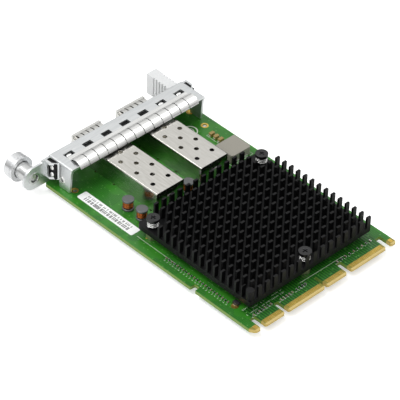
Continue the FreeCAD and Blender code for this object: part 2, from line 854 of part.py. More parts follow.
def draw_jog(sketch):
    """The side wall's outward step that meets the front plate at the board's edge."""
    corners = [
        ("half_shell", "jog_rear"),
        ("half_board", "jog_front"),
        ("half_board", "plate_rear"),
        ("half_board - plate_thickness", "plate_rear"),
        ("half_board - plate_thickness", "jog_front + jog_corner_shift"),
        ("wall_inner", "jog_rear + jog_corner_shift"),
        ("wall_inner", "jog_rear + 2 * jog_corner_shift"),
        ("half_shell", "jog_rear + 2 * jog_corner_shift"),
    ]
    outline(sketch, corners)


def draw_jog_window(sketch):
    front = "plate_rear + jog_window_front"
    rectangle(sketch, front, front + " + jog_window_width", "jog_window_bottom", "jog_window_top")


def draw_flange_slot(sketch):
    front = "plate_rear + slot_place - slot_length / 2"
    left = "-(flange_slots - 1) / 2 * slot_pitch - slot_width / 2"
    rectangle(sketch, left, left + " + slot_width", front, front + " + slot_length")


def draw_ports(sketch):
    for centre in ("cage_x", "-cage_x"):
        left = "%s - port_half_width" % centre
        rectangle(sketch, left, "%s + port_half_width" % centre, "-port_bottom_clearance", "port_top")


def draw_light_window(sketch, x, clearance):
    """The outline of one port light's window, or of its lens inside that window."""
    half = "light_window_width / 2 - %s" % clearance
    rise = "light_window_height / 2 - %s" % clearance
    low, high = "light_height - (%s)" % rise, "light_height + %s" % rise
    rectangle(sketch, "%s - (%s)" % (x, half), "%s + %s" % (x, half), low, high)


def draw_side_hole(sketch):
    circle(sketch, "plate_rear + side_hole_place", "side_hole_height", "side_hole_radius")


def draw_plate_holes(sketch):
    """Holes for the thumbscrew's ferrule, the port lights and the pull tab's screws."""
    circle(sketch, "thumbscrew_x", "thumbscrew_z", "ferrule_spigot_radius")
    for place in ("light_inner_place", "light_outer_place"):
        for side in ("", "-"):
            draw_light_window(sketch, side + place, "0")
    for height in TAB_SCREW_HEIGHTS:
        circle(sketch, "-tab_grip_x", height, "small_hole_radius")


def draw_vents(sketch):
    """A zigzag of three hexagons beside each port, the first column of a honeycomb."""
    first = "cage_x + port_half_width + vent_pitch / 2"
    mirrored = "-cage_x - port_half_width - 2 * vent_pitch"
    places = [
        ("%s + vent_pitch * %g" % (start, step % 2 / 2), "vent_height + %d * vent_pitch * sqrt(3) / 2" % step)
        for start in (first, mirrored)
        for step in range(3)
    ]
    for x, z in places:
        polygon(sketch, x, z, "vent_across_flats", 6)


def draw_tabs(sketch):
    """The two feet that the board's front corners are screwed to."""
    rectangle(sketch, "half_shell - tab_width", "half_shell", "plate_rear", "tab_rear")
    rectangle(sketch, "-half_shell", "-half_shell + tab_width", "plate_rear", "tab_rear")


def faceplate():
    """The folded sheet: front plate, top flange, stepped side walls, ear and board feet."""
    body = new_body("faceplate")
    pad(body, "shell", "XZ", "plate_front", "flange_rear", draw_shell)
    top_edges = [("y", "half_shell", "shell_height"), ("y", "-half_shell", "shell_height")]
    dress(body, "Fillet", "shell_bends", top_edges, "shell_bend_radius")
    pocket(body, "wall_rears", "YZ", "-half_shell - overcut", "half_shell + overcut", draw_wall_rear_cut)
    cut = pocket(body, "wall_front", "XY", "shell_clearance - overcut", "flange_under", draw_wall_front_cut)
    jog = pad(body, "jog", "XY", "jog_bottom", "jog_top", draw_jog)
    window = pocket(body, "jog_window", "YZ", "wall_inner - overcut", "half_board + overcut", draw_jog_window)
    mirror(body, [cut, jog, window], "YZ_Plane")
    pad(body, "front_plate", "XZ", "plate_front", "plate_rear", draw_front_plate)
    dress(body, "Fillet", "front_bend", [("x", "plate_front", "shell_height")], "front_bend_radius")
    past = "shell_height + overcut"
    slot = pocket(body, "flange_slot", "XY", "flange_under - overcut", past, draw_flange_slot)
    repeat(body, [slot], "X_Axis", "slot_pitch", "flange_slots")
    pocket(body, "side_hole", "YZ", "wall_inner - overcut", "half_shell + overcut", draw_side_hole)
    pocket(body, "ports", "XZ", "plate_front", "plate_rear", draw_ports)
    pocket(body, "plate_holes", "XZ", "plate_front", "plate_rear", draw_plate_holes)
    vents = pocket(body, "vents", "XZ", "plate_front", "plate_rear", draw_vents)
    repeat(body, [vents], "X_Axis", "vent_pitch", "2")
    pad(body, "feet", "XY", "tab_bottom", "under_board", draw_tabs)
    pocket(body, "foot_holes", "XY", "tab_bottom", "under_board", draw_board_holes)
    return body


# ---- gaskets ----


def draw_gasket_profile(sketch):
    """The spring strip from the side: a foot on the flange, then an arch over the flange's rear edge."""
    upper = "shell_height + gasket_thickness"
    low = "shell_height - gasket_drop"
    corners = [
        ("gasket_start", "shell_height"),
        ("gasket_arch_start", "shell_height"),
        ("gasket_inner_end", low, "-gasket_inner_radius"),
        ("gasket_outer_end", low),
        ("gasket_outer_start", upper, "gasket_outer_radius"),
        ("gasket_start", upper),
    ]
    outline(sketch, corners)


def draw_gasket_slit(sketch):
    centre = "-half_gasket + gasket_finger_pitch"
    half = "gasket_slit_width / 2"
    rear = "gasket_centre + gasket_outer_radius + overcut"
    rectangle(sketch, "%s - %s" % (centre, half), "%s + %s" % (centre, half), "gasket_arch_start", rear)


def top_gasket():
    """The sprung grounding strip along the top flange, slit into fingers."""
    body = new_body("top_gasket")
    pad(body, "gasket_strip", "YZ", "-half_gasket", "half_gasket", draw_gasket_profile)
    bottom = "shell_height - gasket_drop - overcut"
    top = "shell_height + gasket_rise + gasket_thickness + overcut"
    slit = pocket(body, "gasket_slit", "XY", bottom, top, draw_gasket_slit)
    repeat(body, [slit], "X_Axis", "gasket_finger_pitch", "gasket_fingers - 1")
    return body


def draw_bump_strip(sketch):
    low = "window_centre - bump_strip_width / 2"
    rectangle(sketch, low, low + " + bump_strip_width", "jog_bottom", "flange_under")


def draw_bumps(sketch):
    for height in ("upper_bump_height", "lower_bump_height"):
        circle(sketch, "window_centre", height, "bump_radius")


def side_gaskets():
    """Strips behind the windows in the side walls' steps, each with two sprung bumps."""
    body = new_body("side_gaskets")
    face = "wall_inner + bump_strip_thickness"
    strip = pad(body, "bump_strip", "YZ", "wall_inner", face, draw_bump_strip)
    bumps = pad(body, "bumps", "YZ", face, face + " + bump_height", draw_bumps)
    mirror(body, [strip, bumps], "YZ_Plane")
    return body


# ---- module cages ----


def draw_cage_section(inset):
    """Draws the cage's cross-section, drawn in from its outside by an inset."""

    def draw(sketch):
        half = "half_cage - %s" % inset
        rectangle(sketch, "-(%s)" % half, half, inset, "cage_height - %s" % inset)

    return draw


def draw_cage_vents(sketch):
    """One vent on the centre line, and one to each side half a pitch further back."""
    first = "cage_rear - cage_vent_inset"
    second = first + " + cage_vent_pitch / 2"
    for x, y in (("0", first), ("cage_vent_offset", second), ("-cage_vent_offset", second)):
        polygon(sketch, x, y, "2 * cage_vent_radius", VENT_SIDES)


def draw_cage_floor_opening(sketch):
    half = "half_cage - cage_floor_rail"
    rear = "cage_rear - cage_sheet"
    rectangle(sketch, "-(%s)" % half, half, rear + " - cage_floor_opening", rear)


def draw_cage_latch(sketch):
    """The triangular window that a module's latch drops into."""
    tip = "cage_front + cage_latch_place"
    half = "cage_latch_width / 2"
    rear = tip + " + cage_latch_width"
    outline(sketch, [("0", tip), (half, rear), ("-" + half, rear)])


def draw_cage_lance(sketch):
    corners = [
        ("cage_rear", "cage_lance_height + cage_lance_depth"),
        ("cage_rear", "cage_lance_height - 2 * cage_lance_depth"),
        ("cage_rear + cage_lance_depth", "cage_lance_height"),
    ]
    outline(sketch, corners)


def draw_cage_pins(sketch):
    low = CAGE_PIN_Y + " - cage_pin_width / 2"
    for left, right in (("-half_cage", "-half_cage + cage_sheet"), ("half_cage - cage_sheet", "half_cage")):
        rectangle(sketch, left, right, low, low + " + cage_pin_width")


def port_cage(label, side):
    """A module cage: a thin-walled box open at the front, with vents on top and press-fit pins beneath."""
    body = new_body(label)
    pad(body, "cage_shell", "XZ", "cage_front", "cage_rear", draw_cage_section("0"))
    top_edges = [("y", "half_cage", "cage_height"), ("y", "-half_cage", "cage_height")]
    dress(body, "Fillet", "cage_top_edges", top_edges, "cage_edge_radius")
    pocket(body, "cage_bay", "XZ", "cage_front", "cage_rear - cage_sheet", draw_cage_section("cage_sheet"))
    inner_edges = [
        ("y", "half_cage - cage_sheet", "cage_height - cage_sheet"),
        ("y", "cage_sheet - half_cage", "cage_height - cage_sheet"),
    ]
    dress(body, "Fillet", "cage_bay_edges", inner_edges, "cage_edge_radius / 2")
    pocket(body, "cage_floor_opening", "XY", "0", "cage_sheet", draw_cage_floor_opening)
    pocket(body, "cage_latch_window", "XY", "0", "cage_sheet", draw_cage_latch)
    roof = "cage_height - 2 * cage_sheet"
    vents = pocket(body, "cage_vents", "XY", roof, "cage_height + overcut", draw_cage_vents)
    repeat(body, [vents], "Y_Axis", "cage_vent_pitch", "cage_vent_rows", backwards=True)
    pad(body, "cage_rear_lance", "YZ", "-cage_lance_width / 2", "cage_lance_width / 2", draw_cage_lance)
    pins = pad(body, "cage_pins", "XY", "-cage_pin_drop", "cage_sheet", draw_cage_pins)
    repeat(body, [pins], "Y_Axis", "cage_pin_pitch", "cage_pins_a_side", backwards=True)
    bind(body, x=side + "cage_x")
    return body


def arch(start, length, base, rise, thickness):
    """A sprung finger from the side, as (along, out) corners: it leaves a wall, bulges and comes back."""
    end = "%s + %s" % (start, length)
    outer = "%s + %s" % (base, thickness)
    radius = "((%s / 2) ^ 2 + %s ^ 2) / (2 * %s)" % (length, rise, rise)
    return [(start, base), (end, base, "-" + radius), (end, outer), (start, outer, radius)]


def draw_collar_band(sketch):
    rectangle(sketch, "-half_cage", "half_cage", "0", "cage_height")
    side = "half_cage + collar_sheet"
    rectangle(sketch, "-(%s)" % side, side, "-collar_sheet", "cage_height + collar_sheet")


def draw_collar_top(sketch):
    fingers = arch("collar_root", "collar_finger_length", "cage_height", "collar_top_rise", "collar_sheet")
    outline(sketch, fingers)


def draw_collar_side(sketch):
    """The side fingers' arch with its axes swapped, which turns every arc round."""
    fingers = arch("collar_root", "collar_finger_length", "half_cage", "collar_side_rise", "collar_sheet")
    swapped = []
    for along, out, *radius in fingers:
        swapped.append((out, along) + tuple("-(%s)" % bend for bend in radius))
    outline(sketch, swapped)


def draw_collar_top_slit(sketch):
    first = "-(collar_top_slits - 1) / 2 * collar_finger_pitch"
    half = "collar_slit / 2"
    end = "collar_root + collar_finger_length + overcut"
    rectangle(sketch, "%s - %s" % (first, half), "%s + %s" % (first, half), "collar_root", end)


def draw_collar_side_slit(sketch):
    first = "cage_height / 2 - (collar_side_slits - 1) / 2 * collar_finger_pitch"
    half = "collar_slit / 2"
    end = "collar_root + collar_finger_length + overcut"
    rectangle(sketch, "collar_root", end, "%s - %s" % (first, half), "%s + %s" % (first, half))


def cage_collar(label, side):
    """The grounding collar round a cage's nose: a band with sprung fingers on its top and sides."""
    body = new_body(label)
    width = "half_cage - collar_corner"
    pad(body, "collar_band", "XZ", "cage_front", "collar_root", draw_collar_band)
    pad(body, "collar_top", "YZ", "-(%s)" % width, width, draw_collar_top)
    fingers = pad(body, "collar_side", "XY", "collar_corner", "cage_height - collar_corner", draw_collar_side)
    mirror(body, [fingers], "YZ_Plane")
    top = "cage_height + collar_sheet + collar_top_rise + overcut"
    slit = pocket(body, "collar_top_slit", "XY", "cage_height - collar_sheet", top, draw_collar_top_slit)
    repeat(body, [slit], "X_Axis", "collar_finger_pitch", "collar_top_slits")
    reach = "half_cage + collar_sheet + collar_side_rise + overcut"
    side_slit = pocket(body, "collar_side_slit", "YZ", "-(%s)" % reach, reach, draw_collar_side_slit)
    repeat(body, [side_slit], "Z_Axis", "collar_finger_pitch", "collar_side_slits")
    bind(body, x=side + "cage_x")
    return body


def draw_connector_housing(sketch):
    rectangle(sketch, "-connector_width / 2", "connector_width / 2", "0", "connector_height")


def draw_connector_slot(sketch):
    low = "connector_slot_place - connector_slot_height / 2"
    high = low + " + connector_slot_height"
    rectangle(sketch, "-connector_slot_width / 2", "connector_slot_width / 2", low, high)


def port_connector(label, side):
    """The socket at the back of a cage that a module's card edge enters."""
    body = new_body(label)
    pad(body, "housing", "XZ", "connector_front", "connector_rear", draw_connector_housing)
    slot_end = "connector_front + connector_slot_depth"
    pocket(body, "card_slot", "XZ", "connector_front", slot_end, draw_connector_slot)
    top_edge = [("x", "connector_front", "connector_height")]
    dress(body, "Chamfer", "housing_lead_in", top_edge, "connector_chamfer")
    bind(body, x=side + "cage_x")
    return body


def draw_lead_pair(sketch):
    """The first lead on the floor of the card slot and the one on its roof."""
    left = "-(lead_count - 1) / 2 * lead_pitch - lead_width / 2"
    floor = "connector_slot_place - connector_slot_height / 2"
    roof = "connector_slot_place + connector_slot_height / 2"
    rectangle(sketch, left, left + " + lead_width", floor, floor + " + lead_thickness")
    rectangle(sketch, left, left + " + lead_width", roof + " - lead_thickness", roof)


def connector_leads(side):
    """The two rows of contacts inside one connector's slot."""
    body = new_body("leads")
    front = "connector_front + lead_setback"
    leads = pad(body, "lead_pair", "XZ", front, "connector_front + connector_slot_depth", draw_lead_pair)
    repeat(body, [leads], "X_Axis", "lead_pitch", "lead_count")
    bind(body, x=side + "cage_x")
    return body


# ---- heat sink ----


def draw_sink_plan(sketch):
    rectangle(sketch, "-half_sink", "half_sink", "sink_front", "sink_rear")


def draw_column_gap(sketch):
    left = "-half_sink + pin_width"
    rectangle(sketch, left, "-half_sink + column_pitch", "fin_foot", "sink_top + overcut")


def draw_row_gap(sketch):
    rectangle(sketch, "sink_front + pin_depth", "sink_front + row_pitch", "fin_foot", "sink_top + overcut")


def draw_screw_pockets(sketch):
    """Flat clearings among the pins, round the two front screws and the rear one."""
    front, rear = "sink_front - overcut", "sink_screw_front_y + pocket_half_width"
    rectangle(sketch, "sink_screw_x - pocket_half_width", "half_sink + overcut", front, rear)
    rectangle(sketch, "-half_sink - overcut", "-sink_screw_x + pocket_half_width", front, rear)
    front, rear = "sink_screw_rear_y - pocket_half_width", "sink_screw_rear_y + pocket_half_width"
    rectangle(sketch, "-pocket_half_width", "pocket_half_width", front, rear)


def draw_sink_holes(sketch):
    for x, y in SINK_SCREWS:
        circle(sketch, x, y, "screw_hole_radius")


def draw_post_pocket(sketch):
    reach = "post_inset + post_radius + pin_width / 2"
    left, front = "half_sink - (%s)" % reach, "sink_rear - (%s)" % reach
    rectangle(sketch, left, "half_sink + overcut", front, "sink_rear + overcut")


def draw_post(sketch):
    circle(sketch, "half_sink - post_inset", "sink_rear - post_inset", "post_radius")


def heat_sink():
    """An extruded block of fins cross-cut into pins, cleared flat round its three spring screws."""
    body = new_body("heat_sink")
    pad(body, "sink_block", "XY", "sink_gap", "sink_top", draw_sink_plan)
    corners = [("z", "half_sink", "sink_front"), ("z", "-half_sink", "sink_front")]
    dress(body, "Fillet", "sink_corners", corners, "sink_corner_radius")
    past = "sink_front - overcut", "sink_rear + overcut"
    columns = pocket(body, "column_gap", "XZ", past[0], past[1], draw_column_gap)
    repeat(body, [columns], "X_Axis", "column_pitch", "pin_columns - 1")
    rows = pocket(body, "row_gap", "YZ", "-half_sink - overcut", "half_sink + overcut", draw_row_gap)
    repeat(body, [rows], "Y_Axis", "row_pitch", "pin_rows - 1")
    pocket(body, "screw_pockets", "XY", "fin_foot", "sink_top + overcut", draw_screw_pockets)
    pocket(body, "post_pocket", "XY", "fin_foot", "sink_top + overcut", draw_post_pocket)
    pad(body, "post", "XY", "fin_foot", "sink_gap + post_height", draw_post)
    pocket(body, "screw_holes", "XY", "sink_gap - overcut", "fin_foot + overcut", draw_sink_holes)
    for feature in body.Group:
        if hasattr(feature, "Refine"):
            feature.Refine = False
    return body


def screw_corners(shank, tip, seat, head, height):
    """Half the outline of a screw that stands on its tip: shank, then a cylindrical head."""
    top = "%s + %s" % (seat, height)
    return [("0", tip), (shank, tip), (shank, seat), (head, seat), (head, top), ("0", top)]


def sink_screw(x, y):
    """A shoulder screw that pulls the heat sink down through its spring."""
    body = new_body("sink_screw")
    shank, head = "screw_shank_radius", "screw_head_radius"
    corners = screw_corners(shank, "screw_tip_level", "head_seat", head, "screw_head_height")
    revolve(body, "sink_screw_blank", "XZ", "V_Axis", corners)
    bind(body, x=x, y=y)
    return body


def sink_spring(x, y):
    spring = coil("sink_spring", "coil_radius", "coil_wire", "fin_foot", "head_seat", "coil_turns")
    bind(spring, x=x, y=y)
    return spring


def sink_standoff(x, y):
    """A hexagonal threaded standoff soldered to the board, which sets the heat sink's height."""
    body = new_body("sink_standoff")

    def draw(sketch):
        polygon(sketch, "0", "0", "standoff_across_flats", 6)
        circle(sketch, "0", "0", "screw_shank_radius + screw_thread_clearance")

    pad(body, "standoff", "XY", "0", "sink_gap", draw)
    bind(body, x=x, y=y)
    return body


# ---- components on the board ----


def controller_chip():
    """The network controller: a flat package with a raised lid."""
    body = new_body("controller_chip")

    def draw_square(size):
        def draw(sketch):
            half = "%s / 2" % size
            rectangle(sketch, "-" + half, half, "-chip_place - " + half, "-chip_place + " + half)

        return draw

    pad(body, "substrate", "XY", "0", "chip_substrate", draw_square("chip_size"))
    pad(body, "lid", "XY", "chip_substrate", "chip_top", draw_square("chip_lid_size"))
    half = "chip_lid_size / 2"
    corners = [("z", x + half, "-chip_place %s %s" % (y, half)) for x in ("", "-") for y in ("+", "-")]
    dress(body, "Fillet", "lid_corners", corners, "chip_lid_radius")
    return body


def thermal_pad():
    return centred_block("thermal_pad", "0", "-chip_place", *["chip_lid_size"] * 2, "chip_top", "sink_gap")


def centred_block(name, x, y, length, width, bottom, top):
    """A block given by its centre in plan."""
    return block(
        name,
        "%s - %s / 2" % (x, length),
        "%s + %s / 2" % (x, length),
        "%s - %s / 2" % (y, width),
        "%s + %s / 2" % (y, width),
        bottom,
        top,
    )


DRUMS = [
    ("left_drum_x", "drum_y - drum_pitch"),
    ("left_drum_x", "drum_y"),
    ("0", "drum_y"),
]


def drum_core(x, y):
    """A ferrite spool."""
    body = new_body("drum_core")
    top = "drum_height - drum_flange"
    corners = [
        ("0", "0"),
        ("drum_radius", "0"),
        ("drum_radius", "drum_flange"),
        ("drum_waist_radius", "drum_flange"),
        ("drum_waist_radius", top),
        ("drum_radius", top),
        ("drum_radius", "drum_height"),
        ("0", "drum_height"),
    ]
    revolve(body, "spool", "XZ", "V_Axis", corners)
    bind(body, x=x, y=y)
    return body


def drum_winding(x, y):
    body = new_body("drum_winding")
    top = "drum_height - drum_flange"
    corners = [
        ("drum_waist_radius", "drum_flange"),
        ("winding_radius", "drum_flange"),
        ("winding_radius", top),
        ("drum_waist_radius", top),
    ]
    revolve(body, "winding", "XZ", "V_Axis", corners)
    bind(body, x=x, y=y)
    return body


def draw_power_inductor(sketch):
    """The moulded block in plan, with its rear corners cut off."""
    left, right = "-inductor_x - inductor_length / 2", "-inductor_x + inductor_length / 2"
    front, rear = "inductor_front", "inductor_rear"
    corners = [
        (left, front),
        (right, front),
        (right, rear + " - inductor_chamfer"),
        (right + " - inductor_chamfer", rear),
        (left + " + inductor_chamfer", rear),
        (left, rear + " - inductor_chamfer"),
    ]
    outline(sketch, corners)


def power_inductor():
    body = new_body("power_inductor")
    pad(body, "moulding", "XY", "0", "inductor_height", draw_power_inductor)
    left, right = "-inductor_x - inductor_length / 2", "-inductor_x + inductor_length / 2"
    sides = [("y", side, "inductor_height") for side in (left, right)]
    edges = [("x", "inductor_front", "inductor_height")] + sides
    dress(body, "Chamfer", "moulding_edges", edges, "inductor_edge")
    return body


def moulded_capacitors():
    members = [
        centred_block(
            "moulded_capacitor",
            "-moulded_x",
            "moulded_y + %d * moulded_pitch" % step,
            "moulded_length",
            "moulded_width",
            "0",
            "moulded_height",
        )
        for step in (-1, 0, 1)
    ]
    return group("moulded_capacitors", members)


# Rows of surface-mount parts on the component side: count, first x, first y, and the steps to the next
# part. The resistors stand in the gaps that the capacitors leave.
CAPACITOR_ROWS = [
    (12, "half_sink + side_row_gap", "sink_rear - side_row_inset", "0", "-2 * chip_row_step"),
    (4, "half_sink - corner_row_inset", "sink_rear + rear_row_gap", "-2 * chip_row_step", "0"),
    (5, "tongue_2_end - tongue_row_inset", "-edge_slot_depth + tongue_row_gap", "-chip_row_step", "0"),
    (5, "-half_sink + rear_row_inset", "sink_rear + rear_row_gap", "3 * chip_row_step", "0"),
    (4, "-right_screw_x + port_row_gap", "right_screw_y - chip_row_step", "0", "chip_row_step"),
]
RESISTOR_ROWS = [
    (11, "half_sink + side_row_gap", "sink_rear - side_row_inset - chip_row_step", "0", "-2 * chip_row_step"),
    (3, "half_sink - corner_row_inset - chip_row_step", "sink_rear + rear_row_gap", "-2 * chip_row_step",
     "0"),
    (4, "tongue_2_start + tongue_row_start", "-edge_slot_depth + tongue_row_gap", "-chip_row_step", "0"),
    (4, "-half_sink + rear_row_inset + 3 * chip_row_step / 2", "sink_rear + rear_row_gap",
     "3 * chip_row_step", "0"),
    (4, "-right_screw_x + port_row_gap + chip_row_step", "right_screw_y - chip_row_step", "0",
     "chip_row_step"),
]


def chip_parts(label, rows):
    """Rows of small two-ended parts, each lying across its row."""
    members = []
    for count, x, y, step_x, step_y in rows:
        along, across = "chip_part_length", "chip_part_width"
        if step_y == "0":
            along, across = across, along
        for index in range(count):
            place = ["%s + %d * (%s)" % (start, index, step) for start, step in ((x, step_x), (y, step_y))]
            members.append(centred_block(label + "_part", *place, along, across, "0", "chip_part_height"))
    return group(label, members)


def small_ics():
    """Support chips: one beside the heat sink, and a memory and a regulator on the underside."""
    place = "half_sink - support_chip_inset", "sink_rear - support_chip_place"
    size = "small_ic_width", "small_ic_length", "0", "small_ic_height"
    members = [centred_block("support_chip", *place, *size)]
    underside = ("memory", "under_chip_x", "flash_length"), ("regulator", "-under_chip_x", "flash_width")
    for name, x, length in underside:
        levels = "under_board - flash_height", "under_board"
        members.append(centred_block(name + "_chip", x, "-chip_place", "flash_width", length, *levels))
    return group("small_ics", members)


def underside_capacitors():
    """A grid of decoupling capacitors under the controller."""
    members = []
    for column in range(-2, 3):
        for line in range(-2, 3):
            place = "%d * under_part_pitch" % column, "-chip_place + %d * under_part_pitch" % line
            size = "chip_part_length", "chip_part_width", "under_board - chip_part_height", "under_board"
            members.append(centred_block("decoupling", *place, *size))
    return group("underside_capacitors", members)


def link_lights():
    """Right-angle lamps at the board's front edge, their lenses in the faceplate's small holes."""
    body = new_body("link_lights")
    places = [side + place for place in ("light_inner_place", "light_outer_place") for side in ("", "-")]

    def draw_housings(sketch):
        for x in places:
            rectangle(sketch, x + " - light_width / 2", x + " + light_width / 2", "0", "light_body_height")

    def draw_lenses(sketch):
        for x in places:
            draw_light_window(sketch, x, "light_hole_clearance")

    front = "plate_rear + light_gap"
    pad(body, "light_housings", "XZ", front, front + " + light_depth", draw_housings)
    pad(body, "light_lenses", "XZ", "plate_front + light_hole_clearance", front, draw_lenses)
    return body


def draw_rings(sketch):
    for x, y in FACEPLATE_SCREWS:
        circle(sketch, x, y, "small_hole_radius")
        circle(sketch, x, y, "small_hole_radius + ring_width")


def ground_rings():
    """Plated rings round the two corner screw holes."""
    body = new_body("ground_rings")
    pad(body, "plating", "XY", "0", "contact_thickness", draw_rings)
    return body


def label():
    """The blank paper label beside the cages."""
    body = new_body("label")
    right = "half_board - label_edge_margin"
    left = "half_board - label_edge_margin - label_width"
    front, rear = "label_front", "label_front + label_length"

    def draw(sketch):
        rectangle(sketch, left, right, front, rear)

    pad(body, "paper", "XY", "0", "label_thickness", draw)
    corners = [("z", x, y) for x in (left, right) for y in (front, rear)]
    dress(body, "Fillet", "paper_corners", corners, "label_radius")
    return body


# ---- screws at the faceplate, and the pull tab ----


def small_screw_corners(tip, seat):
    return screw_corners("small_screw_radius", tip, seat, "small_head_radius", "small_head_height")


def faceplate_screw(x, y):
    """A small screw driven up through a faceplate foot into the board."""
    body = new_body("faceplate_screw")
    corners = small_screw_corners("screw_hole_clearance", "small_screw_reach")
    revolve(body, "faceplate_screw_blank", "XZ", "V_Axis", corners)
    body.Placement.Rotation = Rotation(Vector(1, 0, 0), 180)
    bind(body, x=x, y=y)
    return body


def pull_tab_screw(height):
    """A small screw driven forwards through the front plate into the pull tab."""
    body = new_body("pull_tab_screw")
    corners = small_screw_corners("-grip_screw_depth", "plate_thickness")
    revolve(body, "pull_tab_screw_blank", "XZ", "V_Axis", corners)
    body.Placement.Rotation = Rotation(Vector(1, 0, 0), -90)
    bind(body, x="-tab_grip_x", y="plate_front", z=height)
    return body


TAB_SCREW_HEIGHTS = ["tab_grip_middle %s grip_screw_spacing / 2" % side for side in ("+", "-")]


def draw_pull_tab(sketch):
    """The grip from the side, a little lower where it meets the plate."""
    corners = [
        ("tab_grip_front", "-tab_grip_bottom"),
        ("plate_front", "tab_grip_bottom"),
        ("plate_front", "tab_grip_top - tab_grip_slope"),
        ("tab_grip_front", "tab_grip_top"),
    ]
    outline(sketch, corners)


def draw_grip_grooves(sketch):
    """One groove in each side of the grip, seen from above."""
    rear = "plate_front - grip_groove_place"
    front = rear + " - grip_groove_width"
    half = "tab_grip_width / 2"
    for centre_to_face, past in ((half, "overcut"), ("-" + half, "-overcut")):
        face = "-tab_grip_x + %s" % centre_to_face
        floor = face + (" - grip_groove_depth" if past == "overcut" else " + grip_groove_depth")
        edges = (floor, face + " + " + past) if past == "overcut" else (face + " + " + past, floor)
        rectangle(sketch, edges[0], edges[1], front, rear)


def draw_tab_screw_holes(sketch):
    for height in TAB_SCREW_HEIGHTS:
        circle(sketch, "-tab_grip_x", height, "small_screw_radius + screw_thread_clearance")


def pull_tab():
    """The moulded grip for drawing the card out, grooved for the fingers."""
    body = new_body("pull_tab")
    left, right = "-tab_grip_x - tab_grip_width / 2", "-tab_grip_x + tab_grip_width / 2"
    pad(body, "grip", "YZ", left, right, draw_pull_tab)
    edges = [
        ("x", "tab_grip_front", "tab_grip_top"),
        ("x", "tab_grip_front", "-tab_grip_bottom"),
        ("z", left, "tab_grip_front"),
        ("z", right, "tab_grip_front"),
    ]
    dress(body, "Fillet", "grip_edges", edges, "tab_grip_radius")
    high = "tab_grip_top + overcut"
    groove = pocket(body, "grip_groove", "XY", "-tab_grip_bottom - overcut", high, draw_grip_grooves)
    repeat(body, [groove], "Y_Axis", "grip_groove_pitch", "grip_grooves", backwards=True)
    depth = "plate_front - grip_screw_depth - screw_thread_clearance"
    pocket(body, "grip_screw_holes", "XZ", depth, "plate_front", draw_tab_screw_holes)
    return body


# ---- captive thumbscrew, turned about its own Y axis ----


def turned(label, corners):
    """A turned piece of the thumbscrew from (radius, y) corners."""
    body = new_body(label)
    revolve(body, label + "_blank", "XY", "V_Axis", corners)
    bind(body, x="thumbscrew_x", z="thumbscrew_z")
    return body


def thumbscrew_ferrule():
    """The fixed sleeve, flared into the ear, that holds the spring."""
    flare_end = "plate_rear + ferrule_flare"
    corners = [
        ("ferrule_bore_radius", flare_end),
        ("ferrule_flare_radius", flare_end),
        ("ferrule_flare_radius", "plate_rear"),
        ("ferrule_spigot_radius", "plate_rear"),
        ("ferrule_spigot_radius", "plate_front"),
        ("ferrule_radius", "plate_front"),
        ("ferrule_radius", "ferrule_front"),
        ("counterbore_radius", "ferrule_front"),
        ("counterbore_radius", "shoulder_face"),
        ("ferrule_bore_radius", "shoulder_face"),
    ]
    return turned("thumbscrew_ferrule", corners)


def thumbscrew_knob():
    """The cup-shaped knob: its rim slides over the ferrule and its hub pushes the washer."""
    groove = "knob_rear - knob_groove_place"
    valley = "knob_radius - knob_groove_depth"
    corners = [
        ("thumbscrew_radius", "knob_front"),
        ("knob_radius - knob_chamfer", "knob_front"),
        ("knob_radius", "knob_front + knob_chamfer"),
        ("knob_radius", groove + " - knob_groove_width"),
        (valley, groove + " - knob_groove_width"),
        (valley, groove),
        ("knob_radius", groove),
        ("knob_radius", "knob_rear"),
        ("knob_cavity_radius", "knob_rear"),
        ("knob_cavity_radius", "knob_cavity_end"),
        ("knob_hub_radius", "knob_cavity_end"),
        ("knob_hub_radius", "hub_end"),
        ("thumbscrew_radius", "hub_end"),
    ]
    return turned("thumbscrew_knob", corners)


def thumbscrew_screw():
    """The screw pressed through the knob, its tip just inside the ear until it is pushed."""
    tip = "plate_rear - thumbscrew_tip_setback"
    head = "knob_front - thumbscrew_head_height"
    corners = [
        ("0", head),
        ("thumbscrew_head_radius - thumbscrew_head_height", head),
        ("thumbscrew_head_radius", "knob_front"),
        ("thumbscrew_radius", "knob_front"),
        ("thumbscrew_radius", tip + " - thumbscrew_tip_chamfer"),
        ("thumbscrew_radius - thumbscrew_tip_chamfer", tip),
        ("0", tip),
    ]
    return turned("thumbscrew_screw", corners)


def thumbscrew_washer():
    hole = "thumbscrew_radius + washer_hole_clearance"
    corners = [
        (hole, "washer_front"),
        ("washer_radius", "washer_front"),
        ("washer_radius", "washer_rear"),
        (hole, "washer_rear"),
    ]
    return turned("thumbscrew_washer", corners)


def thumbscrew_spring():
    """The return spring between the washer and the ferrule's shoulder."""
    ends = "washer_rear", "shoulder_face"
    spring = coil("return_spring", "return_coil_radius", "return_wire", *ends, "return_turns")
    spring.Label = "thumbscrew_spring"
    spring.Placement.Rotation = Rotation(Vector(1, 0, 0), -90)
    bind(spring, x="thumbscrew_x", z="thumbscrew_z")
    return spring


